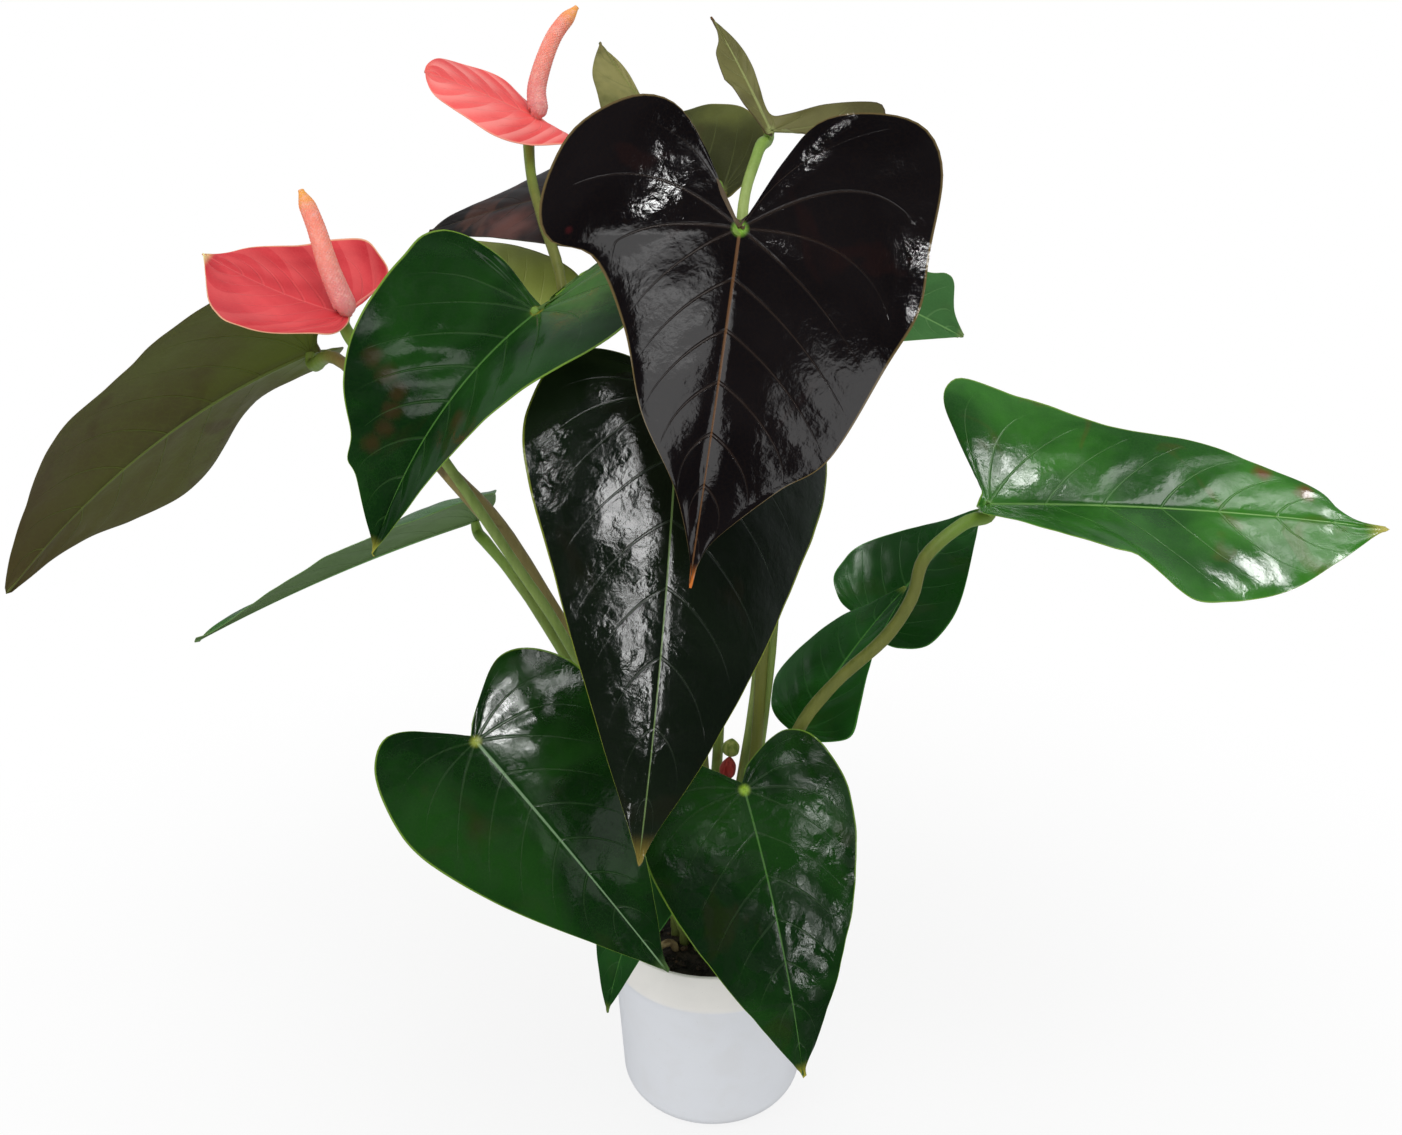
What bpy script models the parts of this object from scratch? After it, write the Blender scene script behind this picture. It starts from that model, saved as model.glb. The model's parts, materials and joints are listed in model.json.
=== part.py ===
"""A potted anthurium: heart-shaped leaves on long stalks, two open flowers, one bud, soil and a plain pot.

Every leaf is a blade on a stalk of its own. The stalks rise from a short stem in the middle of the pot and
stand in holes in the soil. The origin is the middle of the pot's underside, +Z is up and -Y is the front.
"""

from collections import namedtuple
from math import cos, pi, radians, sin, tau

import bmesh
import bpy
import numpy as np
from mathutils import Vector

MM = 0.001

# The pot: a turned shell with a rim band and a small foot
POT_HEIGHT = 115 * MM
POT_WALL = 2.2 * MM
RIM_RADIUS = 60 * MM
RIM_BAND = 25 * MM
RIM_STEP = 1.2 * MM
WALL_TOP_RADIUS = 57.6 * MM
WALL_FOOT_RADIUS = 53 * MM
FOOT_RADIUS = 42 * MM
FOOT_HEIGHT = 2.5 * MM
FOOT_ROUNDING = 12 * MM
LIP_ROUNDING = 0.9 * MM
POT_STEPS = 40

# The soil and the short stem in its middle
GAP = 0.3 * MM
SEAT_GAP = 0.6 * MM
WALL_GAP = 0.5 * MM
SOIL_LEVEL = 103 * MM
SOIL_LUMPS = 2.2 * MM
SOIL_RINGS = 6
SOIL_SECTORS = 24
HOLE_SIDES = 12
HOLE_HEADROOM = 20 * MM
SOIL_SEED = 11
STEM_RADIUS = 6 * MM
STEM_TOP = 118 * MM
SOCKET_DEPTH = 14 * MM
INNER_RING = 11.5 * MM
OUTER_RING = 21.5 * MM

# Blades and stalks
BLADE_THICKNESS = 0.8 * MM
NOTCH_SHARE = 0.03
VEIN_LEAN = 0.55
LOBE_ROWS = 7
RIB_ROWS = 9
BLADE_COLUMNS = 3
TUCK_SHARE = 0.8
STALK_POINTS = 11
STALK_APPROACH = 8 * MM
STALK_COLLAR = 8 * MM
STALK_SMOOTHNESS = 2
STALK_NECK = 0.72
STALK_FOOT = 1.15

# The spadix: a knobbly cone that tapers to a blunt tip
SPADIX_SIDES = 12
SPADIX_RINGS = 17
SPADIX_KNOB = 0.35 * MM
SPADIX_FOOT_RADIUS = 1.8 * MM
SPADIX_NECK = 0.6
SPADIX_RISE = 3.5 * MM
SPADIX_END = 1.4 * MM

# One half of a blade, in millimetres and degrees. The half is a half heart: width is its widest place,
# shoulder how far that lies from the joint towards the tip, lobe how far it reaches back past the joint,
# gap how far the notch opens, waist how full it stays below the shoulder. An outline of its own points takes
# their place.
Half = namedtuple("Half", "width lobe gap shoulder waist fold curl tuck outline", defaults=(0, 0, 0, None))

# A blade hangs from joint to tip (places in millimetres) with its upper side to face. bend arches the rib,
# back turns the lobes, wave lifts the edge.
Blade = namedtuple(
    "Blade", "name joint tip face bend back left right wave waves paint", defaults=(1.5, 3, "green"))

# A stalk rises at an angle round the pot's axis, on a ring, and passes through the places in via
Stalk = namedtuple("Stalk", "blade angle ring via radius paint", defaults=(2.8, "stalk_green"))

BLACK_TOP_LEFT = (
    (-6, 6), (-29, 17), (-45, 31), (-47, 48), (-35, 67), (-18, 75), (0, 77), (12, 71),
    (17, 53), (42, 38), (73, 27), (99, 11), (122, 2),
)
BLACK_TOP_RIGHT = (
    (-7, 3), (-30, 13), (-48, 26), (-55, 49), (-53, 68), (-38, 77), (-8, 76), (17, 74),
    (42, 63), (80, 46), (95, 28), (115, 8), (126, 2),
)
YOUNG_WING = (
    (2, 5), (-8, 16), (-20, 50), (-6, 60), (3, 34), (5, 13), (9, 4), (25, 5), (38, 6), (54, 5),
)
YOUNG_BLADE = ((-1, 2), (2, 4), (14, 7), (30, 9), (34, 12), (50, 9), (60, 3))
LONG_UPPER = (
    (-3, 10), (-11, 32), (-20, 64), (-17, 80), (-7, 84), (20, 70), (64, 50), (102, 44), (132, 32),
    (162, 19), (171, 9), (180, 2),
)
LONG_LOWER = (
    (-5, 12), (-6, 28), (1, 43), (18, 56), (36, 55), (51, 51), (62, 49), (70, 55), (78, 62), (88, 63),
    (104, 57), (141, 41), (167, 22), (188, 4),
)
LEFT_OUTER = (
    (-5, 11), (-9, 30), (-5, 52), (6, 64), (22, 61), (51, 54), (72, 45), (88, 32), (98, 27), (103, 18),
    (119, 6),
)
BACK_LOWER = ((-6, 15), (-1, 25), (9, 33), (24, 35), (41, 31), (64, 20), (88, 7))
BACK_UPPER = ((-3, 13), (-2, 26), (7, 40), (20, 44), (37, 40), (71, 18), (89, 8))
SMALL_LOWER = ((-3, 12), (1, 22), (9, 29), (23, 26), (44, 17), (56, 13), (79, 8))
SMALL_UPPER = ((-3, 8), (1, 21), (10, 30), (25, 38), (45, 32), (76, 21), (90, 10))
FAR_LOWER = (
    (-6, 8), (-14, 22), (0, 34), (20, 32), (38, 36), (59, 50), (88, 67), (115, 64), (140, 47), (164, 23),
)
FAR_UPPER = (
    (-8, 8), (-24, 30), (-22, 62), (8, 84), (45, 82), (72, 66), (98, 60), (122, 60), (144, 48), (167, 26),
)
TALL_UPPER = (
    (-6, 4), (-6, 18), (5, 35), (21, 42), (39, 41), (54, 30), (61, 14), (70, 6), (84, 3), (100, 3), (115, 2),
)
TALL_LOWER = ((-8, 11), (-5, 25), (19, 34), (53, 34), (82, 26), (102, 18), (115, 10))
TOP_SPATHE_FAR = ((-4, 7), (-5, 14), (0, 17), (8, 19), (18, 26), (30, 30), (42, 28), (52, 21), (57, 9))
TOP_SPATHE_NEAR = ((-10, 3), (-20, 4), (-22, 12), (-10, 21), (7, 31), (22, 35), (38, 29), (50, 21), (56, 11))
LEFT_SPATHE_FAR = (
    (0, 9), (-4, 22), (-8, 35), (-7, 44), (0, 51), (9, 56), (23, 51), (35, 40), (51, 25), (60, 9),
)
LEFT_SPATHE_NEAR = ((-3, 8), (0, 21), (8, 29), (21, 39), (33, 46), (41, 49), (51, 36), (60, 16))
BLUNT_END = ((-3, 3), (-11, 9), (-9, 20), (6, 26), (30, 24), (52, 20), (64, 24), (71, 22), (76, 9))

BLADES = (
    Blade("leaf_black_top", (8, -132, 508), (-11, -174, 381), (0.05, -0.95, 0.3), 14, -6,
          Half(77, 47, 17, 0, 0.6, -3, -14, 0, BLACK_TOP_LEFT),
          Half(77, 55, 13, 0, 0.8, -3, -12, 0, BLACK_TOP_RIGHT), 1.5, 3, "black"),
    Blade("leaf_black_front", (-16, -104, 440), (-31, -191, 271), (0.2, -0.88, 0.42), 28, 19,
          Half(63, 22, 13, 22, 0.70, -4, -24), Half(78, 58, 10, 18, 0.72, -3, -38), 1.5, 4, "black"),
    Blade("leaf_left", (-78, -63, 468), (-147, -108, 371), (-0.45, -0.64, 0.62), 46, -46,
          Half(62, 12, 10, 18, 0.82, 23, 9, 0, LEFT_OUTER),
          Half(55, 62, 0, 6, 0.71, 14, -7), 1.5, 3, "green"),
    Blade("leaf_right_long", (138, -14, 366), (331, -33, 359), (0.0, -0.5, 0.86), 12, 22,
          Half(78, 10, 4, 34, 0.88, -14, 0, 52, LONG_LOWER),
          Half(87, 16, 20, -12, 0.76, 12, -26, 8, LONG_UPPER), 1.2, 3, "green"),
    Blade("leaf_right_back", (97, 73, 267), (168, 119, 324), (-0.05, -0.62, 0.78), 20, 17,
          Half(36, 24, 6, 20, 0.74, 4, -14, 0, BACK_LOWER), Half(48, 15, 6, 22, 0.84, -2, -16, 0, BACK_UPPER),
          1.5, 3, "green"),
    Blade("leaf_right_small", (48, -7, 237), (112, 56, 296), (-0.3, -0.46, 0.84), 24, 18,
          Half(31, 9, 5, 16, 0.74, 8, -10, 0, SMALL_LOWER), Half(48, 8, 5, 14, 0.73, -3, -24, 0, SMALL_UPPER),
          1.2, 3, "green"),
    Blade("leaf_low_right", (15, -71, 236), (44, -119, 102), (0.23, -0.9, 0.37), 38, 22,
          Half(57, 25, 12, 18, 0.77, -7, -26), Half(58, 26, 8, 17, 0.76, -6, -14), 1.0, 3, "green"),
    Blade("leaf_low_left", (-114, -81, 268), (-22, -122, 167), (0.25, -0.8, 0.55), 22, 18,
          Half(55, 32, 12, 18, 0.75, -4, -13, -5), Half(64, 27, 13, 10, 0.70, -2, -8), 1.2, 3, "green"),
    Blade("leaf_low_small", (-24, -46, 196), (-55, -87, 115), (-0.43, -0.74, 0.52), 30, 18,
          Half(38, 18, 5, 10, 0.75, 2, -14), Half(27, 20, 5, 8, 0.72, 4, -14), 1.0, 3, "light"),
    Blade("leaf_far_left", (-219, 61, 430), (-370, -6, 315), (-0.64, 0.53, 0.55), 38, -34,
          Half(76, 26, 8, 26, 0.78, 5, 4, 14, FAR_LOWER),
          Half(100, 30, 10, 34, 0.82, 8, -60, 8, FAR_UPPER), 1.5, 3, "olive"),
    Blade("leaf_edge_left", (-130, 32, 344), (-269, -20, 294), (-0.33, -0.22, 0.91), 12, 18,
          Half(58, 20, 8, 22, 0.80, -10, -34, 18), Half(36, 12, 6, 20, 0.66, 44, -6), 1.5, 3, "green"),
    Blade("leaf_back_tall", (5, 80, 513), (-64, 150, 591), (0.3, -0.6, 0.75), -16, 15,
          Half(44, 20, 6, 11, 0.74, 2, 10, 34, TALL_UPPER),
          Half(34, 18, 6, 13, 0.74, -2, -12, 0, TALL_LOWER), 2.0, 3, "olive"),
    Blade("leaf_young", (29, 59, 543), (-1, 98, 600), (0.15, -0.85, 0.5), 14, 16,
          Half(60, 20, 4, 0, 0.7, 6, 0, 0, YOUNG_WING), Half(14, 2, 3, 30, 0.7, 4, 8, 0, YOUNG_BLADE), 1.0, 3,
          "young"),
    Blade("leaf_back_left", (-30, 51, 522), (-150, 62, 493), (-0.24, -0.53, 0.81), 12, 18,
          Half(50, 24, 6, 12, 0.74, -6, -10), Half(52, 24, 6, 12, 0.82, 3, -11), 1.5, 3, "black"),
    Blade("leaf_olive_left", (-94, 34, 448), (-158, 98, 486), (-0.1, -0.65, 0.75), 24, 18,
          Half(38, 20, 6, 12, 0.82, 4, -12), Half(40, 20, 6, 11, 0.74, 0, -15), 1.2, 3, "olive"),
    Blade("leaf_back_right", (47, -16, 482), (123, 3, 447), (0.2, -0.9, 0.3), 20, 18,
          Half(30, 14, 5, 10, 0.74, 0, -10), Half(26, 11, 5, 10, 0.75, 3, -6, 0, BLUNT_END), 1.0, 3, "green"),
)

STALKS = (
    Stalk("leaf_black_top", -20, INNER_RING,
          ((24, -6, 230), (27, -12, 400), (17, -72, 492)), 3.3, "stalk_olive"),
    Stalk("leaf_black_front", 295, INNER_RING, ((-6, -14, 230), (-10, -34, 390)), 3.0, "stalk_olive"),
    Stalk("leaf_left", 250, INNER_RING, ((-24, -14, 230), (-47, -36, 390)), 3.0, "stalk_green"),
    Stalk("leaf_right_long", -24, OUTER_RING,
          ((36, -24, 205), (44, -30, 247), (62, -31, 275), (87, -28, 299), (100, -26, 320), (106, -23, 341),
           (125, -18, 357)), 3.3, "stalk_olive"),
    Stalk("leaf_right_back", 28, OUTER_RING, ((40, 30, 180), (78, 60, 234)), 2.4, "stalk_green"),
    Stalk("leaf_right_small", 2, OUTER_RING, ((34, 1, 170), (46, -2, 214)), 2.2, "stalk_green"),
    Stalk("leaf_low_right", -75, OUTER_RING, ((11, -32, 170), (13, -48, 218)), 2.6, "stalk_green"),
    Stalk("leaf_low_left", 222, OUTER_RING, ((-46, -15, 188), (-88, -42, 246)), 2.6, "stalk_green"),
    Stalk("leaf_low_small", 248, OUTER_RING, ((-15, -24, 150), (-19, -31, 180)), 2.2, "stalk_green"),
    Stalk("leaf_far_left", 205, INNER_RING,
          ((-35, 1, 201), (-79, 6, 290), (-108, -5, 347), (-134, -13, 384), (-190, 22, 431)), 3.3,
          "stalk_brown"),
    Stalk("leaf_edge_left", 172, OUTER_RING,
          ((-42, 13, 190), (-87, 15, 281), (-107, 17, 315), (-122, 23, 333)), 2.8, "stalk_green"),
    Stalk("leaf_back_tall", 115, INNER_RING, ((4, 20, 230), (6, 44, 400)), 3.0, "stalk_green"),
    Stalk("leaf_young", 70, INNER_RING,
          ((26, 9, 283), (20, 24, 420), (14, 32, 498), (22, 49, 532)), 2.8, "stalk_bright"),
    Stalk("leaf_back_left", 160, INNER_RING, ((-10, 18, 230), (-20, 34, 410)), 3.0, "stalk_green"),
    Stalk("leaf_olive_left", 148, OUTER_RING, ((-34, 26, 230), (-68, 36, 376)), 2.6, "stalk_green"),
    Stalk("leaf_back_right", 25, INNER_RING, ((28, 2, 240), (38, -4, 400)), 2.8, "stalk_green"),
    Stalk("flower_top_spathe", 125, OUTER_RING,
          ((-26, 8, 240), (-48, 2, 340), (-69, -8, 420), (-74, -2, 475), (-85, 23, 502), (-92, 42, 522)),
          2.6, "stalk_olive"),
    Stalk("flower_left_spathe", 195, OUTER_RING,
          ((-42, -9, 210), (-77, -11, 290), (-100, -20, 336), (-129, -34, 393), (-161, -34, 440)), 2.6,
          "stalk_green"),
)

# The two spathes are blades of their own colour
SPATHES = (
    Blade("flower_top_spathe", (-91, 61, 550), (-143, 47, 571), (0.1, -0.4, 0.9), 6, -7,
          Half(31, 18, 3, 8, 0.83, -4, 4, 0, TOP_SPATHE_FAR),
          Half(34, 19, 3, 9, 0.85, 3, -18, 0, TOP_SPATHE_NEAR), 1.0, 3, "salmon"),
    Blade("flower_left_spathe", (-171, -31, 463), (-231, -37, 491), (0.15, -0.45, 0.88), -24, 12,
          Half(41, 16, 3, 15, 0.91, -14, 24, 0, LEFT_SPATHE_FAR),
          Half(36, 16, 6, 9, 0.84, 6, 12, 0, LEFT_SPATHE_NEAR), 0.8, 3, "coral"),
)

# The spadices: foot on the spathe's joint, and the places that their middle line passes
Spadix = namedtuple("Spadix", "name spathe via tip radius tip_radius")
SPADICES = (
    Spadix("flower_top_spadix", "flower_top_spathe",
           ((-90, 67, 566), (-82, 75, 588)), (-70, 81, 603), 5.2, 3.4),
    Spadix("flower_left_spadix", "flower_left_spathe",
           ((-178, -26, 483), (-185, -17, 501)), (-192, -11, 517), 5.4, 3.7),
)

# The young flower bud, still rolled up, deep among the stalks; its stalk stands on the short stem
BUD_STALK_RADIUS = 2.0 * MM
BUD_ROUTE = ((0, 0, 124), (3, 3, 160), (7, 4, 188))
BUD_FOOT = (8, 4, 200)
BUD_LEAN = (0.12, 0.05, 1.0)
BUD_RED = (4.6, 14)
BUD_GREEN = (5.0, 11)

# An old aerial root that lies over the soil
ROOT_POINTS = (
    (-21, -20, 94), (-21, -20, 104), (-24, -23, 110.5),
    (-30.3, -28.3, 110.5), (-33.3, -31.3, 104), (-33.3, -31.3, 94),
)
ROOT_RADIUS = 2.2 * MM

# Plain colours: red, green, blue, roughness
COLOURS = {
    "pot_white": (0.80, 0.80, 0.78, 0.45),
    "soil_brown": (0.030, 0.020, 0.014, 0.95),
    "stem_brown": (0.10, 0.075, 0.035, 0.75),
    "black": (0.012, 0.014, 0.013, 0.18),
    "green": (0.020, 0.085, 0.018, 0.25),
    "light": (0.045, 0.14, 0.025, 0.35),
    "olive": (0.070, 0.075, 0.028, 0.45),
    "young": (0.11, 0.075, 0.040, 0.40),
    "stalk_olive": (0.13, 0.13, 0.035, 0.45),
    "stalk_green": (0.10, 0.20, 0.035, 0.45),
    "stalk_bright": (0.20, 0.36, 0.060, 0.40),
    "stalk_brown": (0.17, 0.11, 0.040, 0.55),
    "salmon": (0.78, 0.16, 0.12, 0.35),
    "coral": (0.66, 0.080, 0.090, 0.35),
    "spadix_pink": (0.82, 0.30, 0.20, 0.50),
    "bud_red": (0.45, 0.030, 0.035, 0.40),
    "bud_green": (0.30, 0.38, 0.070, 0.45),
    "root_tan": (0.24, 0.18, 0.085, 0.75),
}


def clear_scene():
    for item in list(bpy.data.objects):
        bpy.data.objects.remove(item, do_unlink=True)


def new_collection(name):
    group = bpy.data.collections.new(name)
    bpy.context.scene.collection.children.link(group)
    return group


def paint(name):
    """the material of that plain colour, made once"""
    material = bpy.data.materials.get(name)
    if material is None:
        red, green, blue, roughness = COLOURS[name]
        material = bpy.data.materials.new(name)
        material.use_nodes = True
        shader = material.node_tree.nodes["Principled BSDF"]
        shader.inputs["Base Color"].default_value = (red, green, blue, 1.0)
        shader.inputs["Roughness"].default_value = roughness
        shader.inputs["Metallic"].default_value = 0.0
    return material


def add_object(name, data, colour, group):
    item = bpy.data.objects.new(name, data)
    data.materials.append(paint(colour))
    group.objects.link(item)
    return item


def mesh_from(name, points, faces):
    mesh = bpy.data.meshes.new(name)
    mesh.from_pydata([tuple(float(c) for c in p) for p in points], [], faces)
    mesh.validate()
    return mesh


def shade(mesh, degrees=40):
    mesh.shade_smooth()
    mesh.set_sharp_from_angle(angle=radians(degrees))


def unit(vector):
    vector = np.asarray(vector, float)
    return vector / np.linalg.norm(vector)


def smooth_through(points, count):
    """count places on a smooth curve through the given points"""
    given = np.asarray(points, float)
    given = np.vstack((2 * given[0] - given[1], given, 2 * given[-1] - given[-2]))
    spans = len(given) - 3
    places = []
    for step in np.linspace(0, spans, count):
        span = min(int(step), spans - 1)
        f = step - span
        a, b, c, d = given[span:span + 4]
        places.append(0.5 * (2 * b + (c - a) * f + (2 * a - 5 * b + 4 * c - d) * f ** 2
                             + (3 * b - a - 3 * c + d) * f ** 3))
    return np.array(places)


def blade_length(blade):
    """the rib's run: the chord from joint to tip, made longer by its bend"""
    chord = np.linalg.norm(np.subtract(blade.tip, blade.joint)) * MM
    half_bend = radians(blade.bend) / 2
    return chord * half_bend / sin(half_bend)


def blade_axes(blade):
    along = unit(np.subtract(blade.tip, blade.joint))
    face = np.asarray(blade.face, float)
    up = unit(face - face.dot(along) * along)
    return along, np.cross(up, along), up


def half_outline(half, length, count=160):
    """places (along, out) from the notch round the lobe to the tip"""
    notch = (-NOTCH_SHARE * length, 0.0)
    if half.outline:
        points = [(s * MM, t * MM) for s, t in half.outline]
    else:
        width, lobe, gap, shoulder = half.width * MM, half.lobe * MM, half.gap * MM, half.shoulder * MM
        run = length - shoulder
        points = [
            (-0.55 * lobe, gap),
            (-lobe, 0.5 * width + 0.3 * gap),
            (-0.62 * lobe, 0.86 * width),
            (shoulder, width),
            (shoulder + 0.36 * run, half.waist * width),
            (shoulder + 0.72 * run, 0.446 * half.waist * width),
            (shoulder + 0.93 * run, 0.07 * width),
        ]
    places = smooth_through([notch] + points + [(length, 0.0)], count)
    places[:, 1] = np.maximum(places[:, 1], 0)
    return places


def bent_rib(run, length, bend, back):
    """place in the rib's upright plane, and slope, at a run from the joint; behind it the lobes turn back"""
    rate = bend / length
    ahead = np.maximum(run, 0)
    slope = bend / 2 - rate * ahead
    level = (sin(bend / 2) - np.sin(slope)) / rate
    height = (np.cos(slope) - cos(bend / 2)) / rate
    behind = np.minimum(run, 0)
    middle_slope = bend / 2 - back * behind / length / 2
    level = level + behind * np.cos(middle_slope)
    height = height + behind * np.sin(middle_slope)
    slope = np.where(run < 0, bend / 2 - back * behind / length, slope)
    return level, height, slope


def blade_places(blade, half, sign, along, out, share, turn):
    """the flat places (along, out) of one half set in the world, bent, folded and waved"""
    along_axis, right_axis, up_axis = blade_axes(blade)
    length = blade_length(blade)
    level, height, slope = bent_rib(along, length, radians(blade.bend), radians(blade.back))
    reach = np.clip(along / (TUCK_SHARE * length), 0, 1)
    tuck = radians(half.tuck) * (1 - reach ** 2 * (3 - 2 * reach))
    tilt = radians(half.fold) + tuck + radians(half.curl) / 2 * out / (half.width * MM)
    lift = out * np.sin(tilt) + blade.wave * MM * share ** 2 * np.sin(tau * (blade.waves * turn + 0.3 * sign))
    level = level - np.sin(slope) * lift
    height = height + np.cos(slope) * lift
    start = np.asarray(blade.joint, float) * MM
    return (start + level[:, None] * along_axis + (sign * out * np.cos(tilt))[:, None] * right_axis
            + height[:, None] * up_axis)


def half_rows(half, length):
    """rows of flat places from rib to edge: a fan round the joint, then side veins down the rib"""
    edge = half_outline(half, length)
    turn = np.linspace(0, 1, len(edge))
    root = edge[:, 0] - VEIN_LEAN * edge[:, 1]
    first = int(np.argmax(np.minimum.accumulate(root[::-1])[::-1] > 0))
    widths = np.linalg.norm(np.diff(edge[:first + 1], axis=0), axis=1)
    walked = np.concatenate(([0], np.cumsum(widths)))
    rows = []
    for row in range(LOBE_ROWS + 1):
        rows.append((0.0, np.interp(walked[-1] * row / LOBE_ROWS, walked, turn[:first + 1])))
    for row in range(1, RIB_ROWS):
        station = length * row / RIB_ROWS
        rows.append((station, np.interp(station, root[first:], turn[first:])))
    places = []
    for station, at in rows:
        end = np.array([np.interp(at, turn, edge[:, 0]), np.interp(at, turn, edge[:, 1])])
        for column in range(1, BLADE_COLUMNS + 1):
            share = column / BLADE_COLUMNS
            along, out = np.array([station, 0.0]) * (1 - share) + end * share
            places.append((along, out, share, at))
    return np.array(places)


def blade_surface(blade):
    """the open middle surface of a blade: points and triangles, both halves sharing the rib"""
    length = blade_length(blade)
    stations = np.array([length * row / RIB_ROWS for row in range(RIB_ROWS + 1)])
    nothing = np.zeros(len(stations))
    points = list(blade_places(blade, blade.left, -1, stations, nothing, nothing, nothing))
    tip = len(points) - 1
    faces = []
    shared = []
    for half, sign in ((blade.left, -1), (blade.right, 1)):
        flat = half_rows(half, length)
        placed = blade_places(blade, half, sign, flat[:, 0], flat[:, 1], flat[:, 2], flat[:, 3])
        rows = []
        for row in range(LOBE_ROWS + RIB_ROWS):
            rib = max(0, row - LOBE_ROWS)
            line = [rib]
            for column in range(BLADE_COLUMNS):
                if row == 0 and sign == 1:
                    line.append(shared[column])
                else:
                    points.append(placed[row * BLADE_COLUMNS + column])
                    line.append(len(points) - 1)
            rows.append(line)
        if sign == -1:
            shared = rows[0][1:]
        rows.append([tip] * (BLADE_COLUMNS + 1))
        for here, after in zip(rows, rows[1:]):
            for column in range(BLADE_COLUMNS):
                corners = [here[column], here[column + 1], after[column + 1], after[column]]
                for triangle in ((corners[0], corners[1], corners[2]), (corners[0], corners[2], corners[3])):
                    if len(set(triangle)) == 3:
                        faces.append(triangle if sign == -1 else triangle[::-1])
    return points, faces


def add_blade(blade, name, group):
    points, faces = blade_surface(blade)
    mesh = mesh_from(name, points, faces)
    item = add_object(name, mesh, blade.paint, group)
    shell = item.modifiers.new("thickness", "SOLIDIFY")
    shell.thickness = BLADE_THICKNESS
    shell.offset = 0
    shade(mesh, 60)
    return item


def joint_normal(blade):
    """the upward normal of the blade at its joint"""
    along_axis, _, up_axis = blade_axes(blade)
    slope = radians(blade.bend) / 2
    return unit(-sin(slope) * along_axis + cos(slope) * up_axis)


def joint_seat(blade, side, radius, gap):
    """where a round end of that radius clears the joint's upper (1) or lower (-1) face by the gap"""
    points, faces = blade_surface(blade)
    start, normal = points[0], joint_normal(blade)
    rise = 0.0
    for corner in {corner for face in faces if 0 in face for corner in face if corner > 0}:
        edge = points[corner] - start
        height = float(edge.dot(normal))
        rise = max(rise, side * height / np.linalg.norm(edge - height * normal) * radius)
    return start + side * (BLADE_THICKNESS / 2 + gap + rise) * normal


def ring_place(stalk, height):
    turn = radians(stalk.angle)
    return np.array([stalk.ring * cos(turn), stalk.ring * sin(turn), height])


def tube(name, route, radii, colour, group, smoothness=STALK_SMOOTHNESS):
    curve = bpy.data.curves.new(name, "CURVE")
    curve.dimensions = "3D"
    curve.bevel_depth = 1.0
    curve.bevel_resolution = smoothness
    curve.use_fill_caps = True
    spline = curve.splines.new("POLY")
    spline.points.add(len(route) - 1)
    for point, place, radius in zip(spline.points, route, radii):
        point.co = (*place, 1.0)
        point.radius = radius
    return add_object(name, curve, colour, group)


def stalk_route(stalk, approach, seat):
    """from the socket up through the places in via; the last piece meets the blade squarely"""
    foot = ring_place(stalk, SOIL_LEVEL - SOCKET_DEPTH)
    collar = ring_place(stalk, SOIL_LEVEL + STALK_COLLAR)
    via = [np.asarray(place, float) * MM for place in stalk.via]
    places = smooth_through([collar] + via + [approach], STALK_POINTS - 2)
    return np.vstack((foot, places, seat))


def stalk_radii(stalk, count):
    """thick at the foot, plain along its run and a little thinner at the neck"""
    share = np.linspace(0, 1, count)
    foot = np.exp(-((share - 0.05) / 0.09) ** 2)
    neck = np.clip((share - 0.9) / 0.1, 0, 1)
    return stalk.radius * MM * (1 + (STALK_FOOT - 1) * foot) * (1 + (STALK_NECK - 1) * neck)


def add_stalk(stalk, blades, name, group):
    blade = blades[stalk.blade]
    seat = joint_seat(blade, -1, stalk.radius * MM * STALK_NECK, SEAT_GAP)
    approach = seat - STALK_APPROACH * joint_normal(blade)
    route = stalk_route(stalk, approach, seat)
    radii = stalk_radii(stalk, len(route))
    return tube(name, route, radii, stalk.paint, group)


def turned(name, profile, steps, colour, group):
    """a profile (radius, height), top to bottom on its outer side, turned round the Z axis"""
    closed = profile[0] == profile[-1]
    mesh = mesh_from(name, [(r, 0.0, z) for r, z in (profile[:-1] if closed else profile)], [])
    form = bmesh.new()
    form.from_mesh(mesh)
    corners = list(form.verts)
    for start, end in zip(corners, corners[1:]):
        if start.co.x > 0 or end.co.x > 0:
            form.edges.new((start, end))
    if closed:
        form.edges.new((corners[-1], corners[0]))
    form.to_mesh(mesh)
    form.free()
    item = add_object(name, mesh, colour, group)
    screw = item.modifiers.new("turn", "SCREW")
    screw.axis = "Z"
    screw.steps = steps
    screw.render_steps = steps
    screw.use_merge_vertices = True
    screw.merge_threshold = 0.00001
    screw.use_smooth_shade = True
    return item


def pot_outside():
    """from the lip down to the foot, with a rounded lower edge"""
    band_foot = POT_HEIGHT - RIM_BAND
    band_radius = WALL_TOP_RADIUS + RIM_STEP
    places = [
        (RIM_RADIUS - POT_WALL / 2, POT_HEIGHT),
        (RIM_RADIUS - 0.2 * MM, POT_HEIGHT - LIP_ROUNDING / 3),
        (RIM_RADIUS, POT_HEIGHT - LIP_ROUNDING),
        (band_radius, band_foot + 0.8 * MM),
        (band_radius - 0.5 * RIM_STEP, band_foot),
        (WALL_TOP_RADIUS, band_foot - 0.5 * MM),
    ]
    middle_radius = WALL_FOOT_RADIUS - FOOT_ROUNDING
    for step in range(5):
        turn = pi / 2 * step / 4
        height = FOOT_HEIGHT + FOOT_ROUNDING * (1 - sin(turn))
        places.append((middle_radius + FOOT_ROUNDING * cos(turn), height))
    places += [(FOOT_RADIUS, FOOT_HEIGHT + 0.4 * MM), (FOOT_RADIUS - 0.5 * MM, 0.0), (0.0, 0.0)]
    return places


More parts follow.
